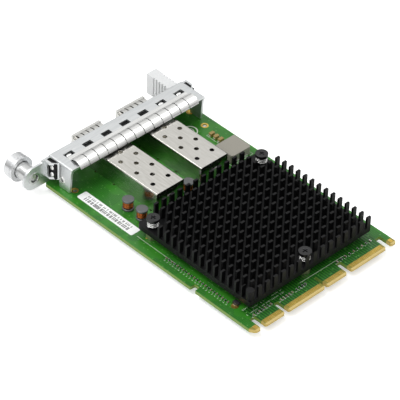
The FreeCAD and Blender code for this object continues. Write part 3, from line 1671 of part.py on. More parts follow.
SIDES = (("left", ""), ("right", "-"))
NODES = [
    circuit_board(),
    edge_contacts(),
    ground_rings(),
    faceplate(),
    top_gasket(),
    side_gaskets(),
    group("faceplate_screws", [faceplate_screw(x, y) for x, y in FACEPLATE_SCREWS]),
    link_lights(),
]
for word, sign in SIDES:
    NODES.append(port_cage(word + "_cage", sign))
    NODES.append(cage_collar(word + "_cage_collar", sign))
    NODES.append(port_connector(word + "_connector", sign))
NODES += [
    group("connector_leads", [connector_leads(sign) for word, sign in SIDES]),
    heat_sink(),
    group("heat_sink_screws", [sink_screw(x, y) for x, y in SINK_SCREWS]),
    group("heat_sink_springs", [sink_spring(x, y) for x, y in SINK_SCREWS]),
    group("heat_sink_standoffs", [sink_standoff(x, y) for x, y in SINK_SCREWS]),
    controller_chip(),
    thermal_pad(),
    group("inductor_cores", [drum_core(x, y) for x, y in DRUMS]),
    group("inductor_windings", [drum_winding(x, y) for x, y in DRUMS]),
    power_inductor(),
    moulded_capacitors(),
    chip_parts("chip_capacitors", CAPACITOR_ROWS),
    chip_parts("chip_resistors", RESISTOR_ROWS),
    small_ics(),
    underside_capacitors(),
    label(),
    pull_tab(),
    group("pull_tab_screws", [pull_tab_screw(height) for height in TAB_SCREW_HEIGHTS]),
    thumbscrew_ferrule(),
    thumbscrew_spring(),
    thumbscrew_washer(),
    thumbscrew_knob(),
    thumbscrew_screw(),
]

doc.recompute()
for thing in doc.Objects:
    if {"Invalid", "Error"} & set(thing.State):
        raise RuntimeError("%s failed: %s" % (thing.Name, thing.State))
for thing in doc.Objects:
    if thing.TypeId in ("PartDesign::Pocket", "PartDesign::Groove"):
        if thing.Shape.Volume >= thing.BaseFeature.Shape.Volume:
            raise RuntimeError("%s cuts nothing" % thing.Name)
for node in NODES:
    if node.Shape.isNull() or not node.Shape.isValid():
        raise RuntimeError("%s has no valid solid" % node.Label)

os.makedirs("parts", exist_ok=True)
for node in NODES:
    node.Shape.exportStep("parts/%s.step" % node.Label)
    print("%-22s %3d solids %10.2f mm3" % (node.Label, len(node.Shape.Solids), node.Shape.Volume))
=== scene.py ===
import math
import random
from functools import cache
from typing import NamedTuple

import bmesh
import bpy
from mathutils import Matrix, Vector


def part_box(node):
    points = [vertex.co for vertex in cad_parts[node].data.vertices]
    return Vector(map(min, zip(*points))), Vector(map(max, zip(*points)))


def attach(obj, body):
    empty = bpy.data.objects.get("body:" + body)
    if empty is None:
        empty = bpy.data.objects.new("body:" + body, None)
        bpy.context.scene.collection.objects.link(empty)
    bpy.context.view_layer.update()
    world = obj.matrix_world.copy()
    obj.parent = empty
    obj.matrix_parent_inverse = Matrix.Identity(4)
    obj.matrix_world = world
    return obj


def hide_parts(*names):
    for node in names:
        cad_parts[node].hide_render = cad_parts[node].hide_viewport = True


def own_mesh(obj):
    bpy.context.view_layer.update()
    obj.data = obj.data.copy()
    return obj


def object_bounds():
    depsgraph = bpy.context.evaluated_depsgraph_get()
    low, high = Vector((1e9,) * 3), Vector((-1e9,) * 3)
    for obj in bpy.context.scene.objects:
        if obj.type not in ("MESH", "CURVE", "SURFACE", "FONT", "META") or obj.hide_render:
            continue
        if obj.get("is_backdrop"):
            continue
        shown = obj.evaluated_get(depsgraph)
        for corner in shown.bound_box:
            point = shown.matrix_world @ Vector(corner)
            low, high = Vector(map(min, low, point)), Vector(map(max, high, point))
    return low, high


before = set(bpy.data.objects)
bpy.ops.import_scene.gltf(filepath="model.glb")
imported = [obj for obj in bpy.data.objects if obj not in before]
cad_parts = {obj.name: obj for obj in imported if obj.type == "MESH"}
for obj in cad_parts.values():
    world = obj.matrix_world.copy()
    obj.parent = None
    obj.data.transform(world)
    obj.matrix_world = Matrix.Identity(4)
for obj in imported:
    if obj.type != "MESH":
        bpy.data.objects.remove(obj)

bl_info = {
    "name": "Dual-port mezzanine network card",
    "version": (1, 0, 0),
    "blender": (4, 5, 0),
    "location": "View3D > Sidebar > Network card",
    "description": "Gives the card's solids their finishes, small parts, fasteners, print and studio stage",
    "category": "Object",
}

MM = 0.001
BOARD_LOW, BOARD_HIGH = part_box("circuit_board")
# Corners of the CAD's loose triangles that are nearer than this are one corner.
MERGE = 0.002 * MM
# Two faces become one below the first angle, shade as one below the second, and have their edge broken above
# the third.
FLAT_ANGLE, SMOOTH_ANGLE, SHARP_ANGLE = (math.radians(angle) for angle in (1, 30, 35))
# How far apart the bands of a wave texture are at scale 1, in metres.
WAVE_PITCH = math.tau / 20

# Node settings that repeat.
COLOUR_MIX = {"data_type": "RGBA"}
OVER = {"operation": "GREATER_THAN"}
UNDER = {"operation": "LESS_THAN"}
LARGER = {"operation": "MAXIMUM"}
TIMES = {"operation": "MULTIPLY"}


def point(x, y, z=0.0):
    """A place on the card, given in millimetres."""
    return Vector((x, y, z)) * MM


def on_board(x, y):
    """A place on the board's top face, given in millimetres."""
    return Vector((x * MM, y * MM, BOARD_HIGH.z))


def centred(low, high, z):
    """The middle of a box as seen from above, at a height."""
    return Vector(((low.x + high.x) / 2, (low.y + high.y) / 2, z))


# ---- nodes and finishes ----


def linear(hex_colour):
    """An sRGB hex value as the linear colour that the shaders take."""
    digits = hex_colour.lstrip("#")
    channels = [int(digits[place:place + 2], 16) / 255 for place in (0, 2, 4)]
    return tuple(c / 12.92 if c <= 0.04045 else ((c + 0.055) / 1.055) ** 2.4 for c in channels) + (1.0,)


def add(tree, kind, settings=None, inputs=None):
    """Adds a node; each input is given its value, or the socket that feeds it."""
    node = tree.nodes.new(kind)
    for name, value in (settings or {}).items():
        setattr(node, name, value)
    for name, value in (inputs or {}).items():
        if isinstance(value, bpy.types.NodeSocket):
            tree.links.new(value, node.inputs[name])
        else:
            node.inputs[name].default_value = value
    return node


def per_metre(size_mm):
    """The texture scale that gives features of this size on coordinates in metres."""
    return 1 / (size_mm * MM)


def start_finish(name, metallic, roughness, values):
    """A new material with its shader set to one uniform finish, and the coordinates its patterns read."""
    material = bpy.data.materials.new(name)
    material.use_nodes = True
    shader = material.node_tree.nodes["Principled BSDF"]
    for socket, value in {"Metallic": metallic, "Roughness": roughness, **values}.items():
        shader.inputs[socket].default_value = value
    place = add(material.node_tree, "ShaderNodeTexCoord").outputs["Object"]
    return material, material.node_tree, shader, place


class Grain(NamedTuple):
    """A finish that is one grain over one base, with colour and roughness each running between two ends."""

    name: str
    metallic: float
    colours: tuple
    roughness: tuple
    grain_mm: float
    stretch: tuple = (1, 1, 1)
    relief_mm: float = 0.0
    values: dict = {}


def grained(look):
    """Drives colour, gloss and relief by one grain of real size, drawn out where the surface is brushed."""
    material, tree, shader, place = start_finish(look.name, look.metallic, look.roughness[0], look.values)
    grid = add(tree, "ShaderNodeMapping", inputs={"Vector": place, "Scale": look.stretch})
    grain = add(tree, "ShaderNodeTexNoise", inputs={
        "Vector": grid.outputs[0], "Scale": per_metre(look.grain_mm), "Detail": 4.0, "Roughness": 0.6})
    reach = {"Value": grain.outputs["Fac"], "From Min": 0.3, "From Max": 0.7}
    spread = add(tree, "ShaderNodeMapRange", inputs=reach)
    tone = add(tree, "ShaderNodeMix", COLOUR_MIX, {
        0: spread.outputs[0], 6: linear(look.colours[0]), 7: linear(look.colours[1])})
    gloss = add(tree, "ShaderNodeMapRange", inputs={
        **reach, "To Min": look.roughness[0], "To Max": look.roughness[1]})
    tree.links.new(tone.outputs[2], shader.inputs["Base Color"])
    tree.links.new(gloss.outputs[0], shader.inputs["Roughness"])
    if look.relief_mm:
        relief = add(tree, "ShaderNodeBump", inputs={
            "Strength": 1.0, "Distance": look.relief_mm * MM, "Height": grain.outputs["Fac"]})
        tree.links.new(relief.outputs[0], shader.inputs["Normal"])
    return material


GRAINED_FINISHES = {
    # Electroplated gold over nickel: a warm ochre sheen with faint polishing marks.
    "gold_plating": Grain(
        "Hard gold plating", 1.0, ("#CBA64A", "#E6C76E"), (0.28, 0.42), 0.5, stretch=(1, 0.2, 1)),
    # Rolled steel sheet, nickel plated and left satin: pale grey with long fine rolling marks.
    "plated_steel": Grain(
        "Satin nickel on rolled sheet", 1.0, ("#D2D5D6", "#E0E2E2"), (0.32, 0.42), 0.6,
        stretch=(0.08, 1, 1), relief_mm=0.002),
    # Bright plated beryllium copper strip: nearly white, glossier than the sheet it's clipped over.
    "spring_strip": Grain(
        "Bright tin on spring strip", 1.0, ("#DEDEDC", "#F0F0EE"), (0.22, 0.34), 1.2, stretch=(0.15, 1, 1)),
    # Stamped cage sheet, nickel plated: warmer than the faceplate, and smooth enough that its walls mirror
    # the board.
    "cage_sheet": Grain(
        "Nickel on stamped cage sheet", 1.0, ("#C4C2BC", "#D6D4CE"), (0.16, 0.26), 0.7,
        stretch=(1, 0.1, 1), relief_mm=0.002),
    # Thin contact collar round each port: clean bright tin.
    "collar_sheet": Grain(
        "Bright tin on collar sheet", 1.0, ("#CFCFCB", "#DFDFDB"), (0.28, 0.4), 0.8, stretch=(1, 0.12, 1)),
    # Glass-filled liquid crystal polymer, moulded: black with a dry satin skin.
    "connector_plastic": Grain(
        "Moulded black polymer", 0.0, ("#0E0E0F", "#18181A"), (0.45, 0.6), 0.25,
        relief_mm=0.004, values={"IOR": 1.55}),
    # Sawn pin fins, bead blasted and dyed black in the anodising bath: near black, with a soft sheen.
    "anodised_aluminium": Grain(
        "Black anodised aluminium", 0.0, ("#020203", "#070708"), (0.36, 0.5), 0.3,
        relief_mm=0.006, values={"IOR": 1.4, "Specular IOR Level": 0.3}),
    # Turned steel, nickel plated: bright grey with fine turning marks.
    "screw_steel": Grain("Turned steel, nickel plated", 1.0, ("#C5C6C5", "#D2D3D2"), (0.24, 0.32), 0.2),
    # Black oxide on steel: oily black, glossy at the rounded rim.
    "black_steel": Grain(
        "Black oxide on steel", 0.0, ("#060607", "#0F0F11"), (0.24, 0.38), 0.4, values={"IOR": 1.5}),
    # Drawn stainless wire: mirror-bright along its length.
    "spring_wire": Grain("Drawn stainless wire", 1.0, ("#C9C9C7", "#E4E4E2"), (0.16, 0.26), 0.3),
    # Turned brass, tin plated: warm pale metal.
    "standoff_brass": Grain("Tinned brass", 1.0, ("#B7AD92", "#CBC3AB"), (0.3, 0.42), 0.4),
    # Epoxy moulding compound of a chip: charcoal, matt, with the mould's fine spark texture.
    "chip_package": Grain(
        "Epoxy moulding compound", 0.0, ("#161617", "#242426"), (0.5, 0.65), 0.12,
        relief_mm=0.006, values={"IOR": 1.57}),
    # Silicone gap filler: soft grey, slightly speckled by its ceramic fill.
    "thermal_gel": Grain(
        "Silicone gap filler", 0.0, ("#7C7F86", "#93969C"), (0.6, 0.75), 0.2,
        relief_mm=0.01, values={"IOR": 1.41}),
    # Sintered nickel-zinc ferrite, tumbled and lacquered: dark slate grey with a soft gloss.
    "ferrite": Grain(
        "Sintered ferrite", 0.0, ("#303333", "#4B4F50"), (0.26, 0.44), 0.35,
        relief_mm=0.006, values={"IOR": 1.9}),
    # Enamelled copper wire: glowing red brown under clear varnish, darker where turns meet.
    "copper_winding": Grain("Enamelled copper wire", 1.0, ("#6E3A1C", "#B56A38"), (0.2, 0.36), 0.5),
    # Pressed iron powder and resin: mid warm grey, grainy.
    "pressed_iron": Grain(
        "Pressed iron powder", 0.0, ("#827F75", "#A09C91"), (0.45, 0.62), 0.22,
        relief_mm=0.012, values={"IOR": 1.6}),
    # Transfer-moulded tantalum case: golden brown, slightly glossy.
    "moulded_case": Grain(
        "Golden brown case moulding", 0.0, ("#7F6A38", "#A8914F"), (0.34, 0.46), 0.25,
        relief_mm=0.004, values={"IOR": 1.55}),
    # Barium titanate ceramic, fired: tan body.
    "capacitor_ceramic": Grain(
        "Fired capacitor ceramic", 0.0, ("#7D5F43", "#98795A"), (0.4, 0.55), 0.15,
        relief_mm=0.004, values={"IOR": 1.6}),
    # Resistor film under black glass glaze.
    "resistor_ceramic": Grain(
        "Black glazed resistor", 0.0, ("#111112", "#202022"), (0.25, 0.4), 0.2, values={"IOR": 1.5}),
    # Reflowed tin solder on terminals and pads: bright, with a frosty grain.
    "solder": Grain(
        "Reflowed tin solder", 1.0, ("#D2D3D3", "#F0F0F0"), (0.3, 0.5), 0.12, relief_mm=0.006),
    # Moulded polycarbonate pull: pale grey, faintly mottled.
    "tab_plastic": Grain(
        "Pale grey pull moulding", 0.0, ("#D6D8D8", "#E4E5E5"), (0.4, 0.5), 0.5,
        relief_mm=0.005, values={"IOR": 1.58}),
    # Turned and bead-blasted aluminium, clear anodised: silvery white satin.
    "knob_metal": Grain(
        "Clear anodised knob", 1.0, ("#D6D7D8", "#E0E1E2"), (0.24, 0.31), 0.2,
        stretch=(1, 0.1, 1), relief_mm=0.001),
    # Clear polycarbonate light pipe: watery, faintly frosted by its moulding.
    "lens_plastic": Grain(
        "Clear light pipe", 0.0, ("#C9D6CF", "#E6EEE9"), (0.15, 0.3), 0.4,
        values={"IOR": 1.58, "Transmission Weight": 0.6}),
    # Screen-printed epoxy ink: slightly translucent white over green.
    "print_ink": Grain(
        "White screen-print ink", 0.0, ("#C9D6BE", "#E9EFE4"), (0.5, 0.62), 0.2, values={"IOR": 1.5}),
    # Matt polyester label: clean white with a faint fibrous tooth.
    "label_paper": Grain(
        "White polyester label", 0.0, ("#F0F2F1", "#FAFAFA"), (0.55, 0.7), 0.4,
        relief_mm=0.004, values={"IOR": 1.48}),
    # Thermal-transfer ribbon on the label: soft black bars.
    "label_ink": Grain(
        "Label ribbon ink", 0.0, ("#2B2B2B", "#5A5A5A"), (0.55, 0.7), 0.3, values={"IOR": 1.45}),
    # Soot black put where the card has only shade, behind the flange, in the gasket's arch and on the side
    # strips' inner faces: painted shade, with a rough pored relief.
    "foam": Grain(
        "Soot black painted shade", 0.0, ("#050505", "#101011"), (0.85, 0.95), 0.25,
        relief_mm=0.03, values={"IOR": 1.4}),
}


def solder_mask():
    """Glossy green mask over copper: pours and tracks show through lighter, and the cut edge is laminate.

    Real tracks are 0.1 mm wide. They're drawn 0.3 mm wide on a 0.75 mm pitch so that they show, and the leads
    that fan out behind the contacts 0.4 mm wide on twice the contacts' own pitch of 0.6 mm.
    """
    # Spacings and sizes in millimetres.
    district_mm, track_mm, fan_mm, via_mm = 6.0, 0.75, 1.2, 3.4
    cloud_mm, weave_mm, step_mm, skin_mm = 9.0, 0.4, 0.03, 0.04
    cloud_share = 0.25
    fan_start_mm, fan_reach_mm = -11.5, 33.4
    # A wave or a district's own random value means copper above these. A via is this share of its spacing
    # from its middle to its rim.
    turned_over, pour_over, track_over, lead_over, via_under = 0.5, 0.42, 0.62, 0.72, 0.075
    finishes = bpy.context.scene.card_finishes
    material, tree, shader, place = start_finish("Solder mask over copper", 0.0, 0.3, {"IOR": 1.46})
    spot = add(tree, "ShaderNodeSeparateXYZ", inputs={"Vector": place}).outputs

    # Districts of tracks that run along or across the card, some of them covered by a pour.
    district = add(tree, "ShaderNodeTexVoronoi", {"distance": "MANHATTAN", "voronoi_dimensions": "2D"}, {
        "Vector": place, "Scale": per_metre(district_mm), "Randomness": 0.9})
    pick = add(tree, "ShaderNodeSeparateColor", inputs={"Color": district.outputs["Color"]})
    across, along, fan = (
        add(tree, "ShaderNodeTexWave", {"bands_direction": axis}, {
            "Vector": place, "Scale": per_metre(pitch_mm) * WAVE_PITCH, "Distortion": 0.0}).outputs["Fac"]
        for axis, pitch_mm in (("X", track_mm), ("Y", track_mm), ("X", fan_mm)))
    turn = add(tree, "ShaderNodeMath", OVER, {0: pick.outputs[1], 1: turned_over})
    tracks = add(tree, "ShaderNodeMix", {"data_type": "FLOAT"}, {0: turn.outputs[0], 2: across, 3: along})
    lines = add(tree, "ShaderNodeMath", OVER, {0: tracks.outputs[0], 1: track_over})
    pour = add(tree, "ShaderNodeMath", OVER, {0: pick.outputs[0], 1: pour_over})
    inner = add(tree, "ShaderNodeMath", LARGER, {0: lines.outputs[0], 1: pour.outputs[0]})

    # Close rows of leads behind the contacts, over a darker ground that is painted shade between the heat
    # sink and the contacts.
    near = add(tree, "ShaderNodeMath", OVER, {0: spot["Y"], 1: fan_start_mm * MM})
    aside = add(tree, "ShaderNodeMath", {"operation": "ABSOLUTE"}, {0: spot["X"]})
    inside = add(tree, "ShaderNodeMath", UNDER, {0: aside.outputs[0], 1: fan_reach_mm * MM})
    by_edge = add(tree, "ShaderNodeMath", TIMES, {0: near.outputs[0], 1: inside.outputs[0]})
    leads = add(tree, "ShaderNodeMath", OVER, {0: fan, 1: lead_over})
    copper = add(tree, "ShaderNodeMix", {"data_type": "FLOAT"}, {
        0: by_edge.outputs[0], 2: inner.outputs[0], 3: leads.outputs[0]})

    # The mask's colour over both, clouded by its thickness and dotted with covered vias.
    # The darker green here is painted shade.
    base = add(tree, "ShaderNodeMix", COLOUR_MIX, {
        0: by_edge.outputs[0], 6: (*finishes.mask, 1.0), 7: linear("#164E16")})
    mask = add(tree, "ShaderNodeMix", COLOUR_MIX, {
        0: copper.outputs[0], 6: base.outputs[2], 7: (*finishes.copper_under_mask, 1.0)})
    clouds = add(tree, "ShaderNodeTexNoise", inputs={
        "Vector": place, "Scale": per_metre(cloud_mm), "Detail": 2.0})
    shaded = add(tree, "ShaderNodeMix", {**COLOUR_MIX, "blend_type": "MULTIPLY"}, {
        0: cloud_share, 6: mask.outputs[2], 7: clouds.outputs["Fac"]})
    holes = add(tree, "ShaderNodeTexVoronoi", {"voronoi_dimensions": "2D"}, {
        "Vector": place, "Scale": per_metre(via_mm), "Randomness": 1.0})
    via = add(tree, "ShaderNodeMath", UNDER, {0: holes.outputs["Distance"], 1: via_under})
    dotted = add(tree, "ShaderNodeMix", COLOUR_MIX, {
        0: via.outputs[0], 6: shaded.outputs[2], 7: linear("#5E9C4C")})

    # Only the two faces are masked: the cut edge shows woven laminate, ochre between the contacts.
    above = add(tree, "ShaderNodeMath", OVER, {0: spot["Z"], 1: BOARD_HIGH.z - skin_mm * MM})
    below = add(tree, "ShaderNodeMath", UNDER, {0: spot["Z"], 1: BOARD_LOW.z + skin_mm * MM})
    masked = add(tree, "ShaderNodeMath", LARGER, {0: above.outputs[0], 1: below.outputs[0]})
    bare = add(tree, "ShaderNodeMath", OVER, {0: spot["Y"], 1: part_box("edge_contacts")[0].y})
    weave = add(tree, "ShaderNodeTexNoise", inputs={
        "Vector": place, "Scale": per_metre(weave_mm), "Detail": 3.0})
    laminate, ochre = (
        add(tree, "ShaderNodeMix", COLOUR_MIX, {
            0: weave.outputs["Fac"], 6: linear(dark), 7: linear(pale)}).outputs[2]
        for dark, pale in (("#587C2A", "#87A046"), ("#B3973F", "#DAC478")))
    board = add(tree, "ShaderNodeMix", COLOUR_MIX, {0: masked.outputs[0], 6: laminate, 7: dotted.outputs[2]})
    between = add(tree, "ShaderNodeMix", COLOUR_MIX, {0: masked.outputs[0], 6: ochre, 7: linear("#8E8438")})
    colour = add(tree, "ShaderNodeMix", COLOUR_MIX, {
        0: bare.outputs[0], 6: board.outputs[2], 7: between.outputs[2]})
    tree.links.new(colour.outputs[2], shader.inputs["Base Color"])

    # The copper lifts the mask over it.
    step = add(tree, "ShaderNodeMath", TIMES, {0: copper.outputs[0], 1: masked.outputs[0]})
    relief = add(tree, "ShaderNodeBump", inputs={
        "Strength": 0.6, "Distance": step_mm * MM, "Height": step.outputs[0]})
    tree.links.new(relief.outputs[0], shader.inputs["Normal"])
    return material


@cache
def finish(slot):
    """The material of one finish, made the first time that a piece asks for it."""
    return solder_mask() if slot == "solder_mask" else grained(GRAINED_FINISHES[slot])


def wear(node, slot):
    """Gives a CAD node that keeps its shape its finish."""
    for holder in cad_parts[node].material_slots:
        holder.material = finish(slot)


# ---- shapes ----


def linked(name, mesh):
    """A new object at the origin, with its place in its mesh."""
    made = bpy.data.objects.new(name, mesh)
    bpy.context.collection.objects.link(made)
    return made


def settle(made, body="card", node=None):
    """Ties a finished piece to its body, and hides the CAD node that it stands for."""
    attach(made, body)
    if node:
        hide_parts(node)
    return made


def piece(name, mesh, slot):
    """Makes a bare mesh a piece of the card in its finish."""
    mesh.materials.append(finish(slot))
    settle(linked(name, mesh))


def merged(node):
    """A CAD node's loose triangles with their corners joined."""
    shape = bmesh.new()
    shape.from_mesh(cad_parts[node].data)
    bmesh.ops.remove_doubles(shape, verts=shape.verts, dist=MERGE)
    return shape


def kept_mesh(shape, name):
    """Ends the building of a shape and keeps it as a mesh."""
    mesh = bpy.data.meshes.new(name)
    shape.to_mesh(mesh)
    shape.free()
    return mesh


def keep_result(made):
    """Turns an object's modifiers into its plain mesh."""
    mesh = bpy.data.meshes.new_from_object(made.evaluated_get(bpy.context.evaluated_depsgraph_get()))
    made.modifiers.clear()
    made.data = mesh


def soften(shape, angle):
    """Shades a shape smoothly except across edges sharper than the angle."""
    for edge in shape.edges:
        edge.smooth = len(edge.link_faces) == 2 and edge.calc_face_angle(0.0) < angle
    for face in shape.faces:
        face.smooth = True


def dressed(node, slot, bevel_mm, segments=1, body="card", cutters=()):
    """A merged copy of a CAD node with its edges broken as its tooling leaves them."""
    shape = merged(node)
    bmesh.ops.dissolve_limit(shape, angle_limit=FLAT_ANGLE, verts=shape.verts, edges=shape.edges)
    soften(shape, SMOOTH_ANGLE)
    made = linked(node + "_finished", kept_mesh(shape, node + "_finished"))
    made.data.materials.append(finish(slot))
    for cutter in cutters:
        cut = made.modifiers.new("Recess", "BOOLEAN")
        cut.operation = "DIFFERENCE"
        cut.solver = "MANIFOLD"
        cut.object = cutter
    if cutters:
        keep_result(made)
        for cutter in cutters:
            bpy.data.objects.remove(cutter)
    broken = made.modifiers.new("Broken edges", "BEVEL")
    broken.width = bevel_mm * MM
    broken.segments = segments
    broken.limit_method = "ANGLE"
    broken.angle_limit = SHARP_ANGLE
    broken.harden_normals = True
    keep_result(made)
    return settle(made, body, node)


def repaint(made, slot, chosen):
    """Gives the faces whose centre passes a test a second finish."""
    made.data.materials.append(finish(slot))
    for face in made.data.polygons:
        if chosen(face.center):
            face.material_index = len(made.data.materials) - 1


def close_prism(shape, first, last):
    """Caps two like rings of corners and joins them with flat sides."""
    shape.faces.new(first)
    shape.faces.new(last[::-1])
    for index in range(len(first)):
        after = (index + 1) % len(first)
        shape.faces.new((first[index], last[index], last[after], first[after]))
    bmesh.ops.recalc_face_normals(shape, faces=shape.faces)


def aim(shape, axis, centre):
    """Turns a shape that was built up the Z axis to its own axis, and moves it to its centre."""
    turn = Vector((0, 0, 1)).rotation_difference(Vector(axis)).to_matrix()
    bmesh.ops.rotate(shape, verts=shape.verts, matrix=turn)
    bmesh.ops.translate(shape, verts=shape.verts, vec=centre)


def cross_recess(centre, axis, span, width, depth):
    """A cutter for a cross recess in a screw's head: one tapered plus-shaped plug through the head's face."""
    quarter = [(width / 2, width / 2), (span / 2, width / 2), (span / 2, -width / 2)]
    floor_taper, mouth_taper = 0.6, 1.25
    shape = bmesh.new()
    rings = []
    for height, taper in ((-depth, floor_taper), (depth, mouth_taper)):
        ring = []
        for quarter_turn in range(4):
            spin = Matrix.Rotation(-quarter_turn * math.pi / 2, 2)
            for corner in quarter:
                ring.append(shape.verts.new((*(spin @ Vector(corner) * taper), height)))
        rings.append(ring)
    close_prism(shape, *rings)
    aim(shape, axis, centre)
    return linked("recess_cutter", kept_mesh(shape, "recess_cutter"))


def loose_parts(node):
    """The low and high corners of each separate solid in a CAD node, in a fixed order."""
    shape = merged(node)
    seen, boxes = set(), []
    for start in shape.verts:
        if start in seen:
            continue
        seen.add(start)
        waiting, corners = [start], []
        while waiting:
            vert = waiting.pop()
            corners.append(tuple(vert.co))
            for edge in vert.link_edges:
                other = edge.other_vert(vert)
                if other not in seen:
                    seen.add(other)
                    waiting.append(other)
        boxes.append((Vector(map(min, zip(*corners))), Vector(map(max, zip(*corners)))))
    shape.free()
    return sorted(boxes, key=lambda box: tuple(round(value, 6) for value in box[0]))


def start_tree(name, sizes):
    """A geometry tree with its named inputs: the points to grow on, then lengths, numbers and counts."""
    tree = bpy.data.node_groups.new(name, "GeometryNodeTree")
    tree.interface.new_socket("Points", in_out="INPUT", socket_type="NodeSocketGeometry")
    for label, value in sizes.items():
        kind = "NodeSocketInt" if isinstance(value, int) else "NodeSocketFloat"
        tree.interface.new_socket(label, in_out="INPUT", socket_type=kind).default_value = value
    tree.interface.new_socket("Mesh", in_out="OUTPUT", socket_type="NodeSocketGeometry")
    return tree, add(tree, "NodeGroupInput").outputs


def stand(tree, mesh, height):
    """Lifts a mesh by half its height, so that it stands on its point."""
    half = add(tree, "ShaderNodeMath", TIMES, {0: height, 1: 0.5})
    lift = add(tree, "ShaderNodeCombineXYZ", inputs={2: half.outputs[0]})
    return add(tree, "GeometryNodeTransform", inputs={"Geometry": mesh, "Translation": lift.outputs[0]})


def end_tree(tree, given, part, slot):
    """Sets the part on every point, turned by the point's own turn, as one real mesh in its finish."""
    turn = add(tree, "GeometryNodeInputNamedAttribute", {"data_type": "FLOAT_VECTOR"}, {"Name": "turn"})
    spin = add(tree, "FunctionNodeEulerToRotation", inputs={0: turn.outputs["Attribute"]})
    placed = add(tree, "GeometryNodeInstanceOnPoints", inputs={
        "Points": given["Points"], "Instance": part.outputs[0], "Rotation": spin.outputs[0]})
    solid = add(tree, "GeometryNodeRealizeInstances", inputs={"Geometry": placed.outputs[0]})
    coated = add(tree, "GeometryNodeSetMaterial", inputs={
        "Geometry": solid.outputs[0], "Material": finish(slot)})
    add(tree, "NodeGroupOutput", inputs={0: coated.outputs[0]})
    return tree


@cache
def block_tree(slot):
    """Small blocks standing on their points."""
    tree, given = start_tree("Blocks in " + slot, {"Length": 1.0, "Width": 0.5, "Height": 0.5})
    size = add(tree, "ShaderNodeCombineXYZ", inputs={
        0: given["Length"], 1: given["Width"], 2: given["Height"]})
    cube = add(tree, "GeometryNodeMeshCube", inputs={"Size": size.outputs[0]})
    return end_tree(tree, given, stand(tree, cube.outputs["Mesh"], given["Height"]), slot)


@cache
def disc_tree(slot):
    """Flat round pads standing on their points."""
    tree, given = start_tree("Discs in " + slot, {"Radius": 0.5, "Thickness": 0.03, "Sides": 24})
    disc = add(tree, "GeometryNodeMeshCylinder", inputs={
        "Vertices": given["Sides"], "Radius": given["Radius"], "Depth": given["Thickness"]})
    return end_tree(tree, given, stand(tree, disc.outputs["Mesh"], given["Thickness"]), slot)


@cache
def dome_tree(slot):
    """Long low domes centred on their points."""
    tree, given = start_tree("Domes in " + slot, {"Length": 3.0, "Width": 2.0, "Height": 1.0})
    ball = add(tree, "GeometryNodeMeshUVSphere", inputs={"Segments": 24, "Rings": 12, "Radius": 0.5})
    size = add(tree, "ShaderNodeCombineXYZ", inputs={
        0: given["Length"], 1: given["Width"], 2: given["Height"]})
    shaped = add(tree, "GeometryNodeTransform", inputs={
        "Geometry": ball.outputs["Mesh"], "Scale": size.outputs[0]})
    smooth = add(tree, "GeometryNodeSetShadeSmooth", inputs={"Geometry": shaped.outputs[0]})
    return end_tree(tree, given, smooth, slot)


@cache
def coil_tree(slot):
    """Wire wound into a coil that rises from its point."""
    tree, given = start_tree("Coils in " + slot, {
        "Turns": 3.0, "Radius": 2.0, "Rise": 3.0, "Wire": 0.5, "Steps": 28})
    line = add(tree, "GeometryNodeCurveSpiral", inputs={
        "Resolution": given["Steps"], "Rotations": given["Turns"], "Start Radius": given["Radius"],
        "End Radius": given["Radius"], "Height": given["Rise"]})
    half = add(tree, "ShaderNodeMath", TIMES, {0: given["Wire"], 1: 0.5})
    section = add(tree, "GeometryNodeCurvePrimitiveCircle", {"mode": "RADIUS"}, {
        "Resolution": 8, "Radius": half.outputs[0]})
    wire = add(tree, "GeometryNodeCurveToMesh", inputs={
        "Curve": line.outputs[0], "Profile Curve": section.outputs[0], "Fill Caps": True})
    smooth = add(tree, "GeometryNodeSetShadeSmooth", inputs={"Geometry": wire.outputs[0]})
    return end_tree(tree, given, smooth, slot)


def grown(name, make_tree, slot, points, sizes, turns=None, node=None):
    """Runs a geometry tree on a set of points and keeps the result as one plain piece."""
    cloud = bpy.data.meshes.new(name)
    cloud.from_pydata([tuple(place) for place in points], [], [])
    turn = cloud.attributes.new("turn", "FLOAT_VECTOR", "POINT")
    angles = turns or [(0.0, 0.0, 0.0)] * len(points)
    turn.data.foreach_set("vector", [value for angle in angles for value in angle])
    made = linked(name, cloud)
    grow = made.modifiers.new("Grow", "NODES")
    grow.node_group = make_tree(slot)
    for socket in grow.node_group.interface.items_tree:
        if socket.name in sizes:
            grow[socket.identifier] = sizes[socket.name]
    keep_result(made)
    return settle(made, node=node)


def lathed(name, profile, centre, axis, sides=48):
    """A turned mesh: a closed profile of (radius, height) in millimetres, spun about an axis."""
    shape = bmesh.new()
    rings = []
    for radius, height in profile:
        ring = []
        for side in range(sides):
            angle = math.tau * side / sides
            ring.append(shape.verts.new(point(radius * math.cos(angle), radius * math.sin(angle), height)))
        rings.append(ring)
    for low, high in zip(rings, rings[1:] + rings[:1]):
        for side in range(sides):
            after = (side + 1) % sides
            shape.faces.new((low[side], low[after], high[after], high[side]))
    bmesh.ops.remove_doubles(shape, verts=shape.verts, dist=MERGE)
    bmesh.ops.recalc_face_normals(shape, faces=shape.faces)
    aim(shape, axis, centre)
    soften(shape, SHARP_ANGLE)
    return kept_mesh(shape, name)


def strips(name, runs, width, thickness):
    """Flat printed strips on the board's top face, each along a straight run from one place to another."""
    shape = bmesh.new()
    for first, last in runs:
        along = (last - first).normalized()
        side = Vector((-along.y, along.x, 0)) * width / 2
        base = [shape.verts.new(place) for place in (first - side, last - side, last + side, first + side)]
        top = [shape.verts.new(vert.co + Vector((0, 0, thickness))) for vert in base]
        close_prism(shape, top, base)
    return kept_mesh(shape, name)


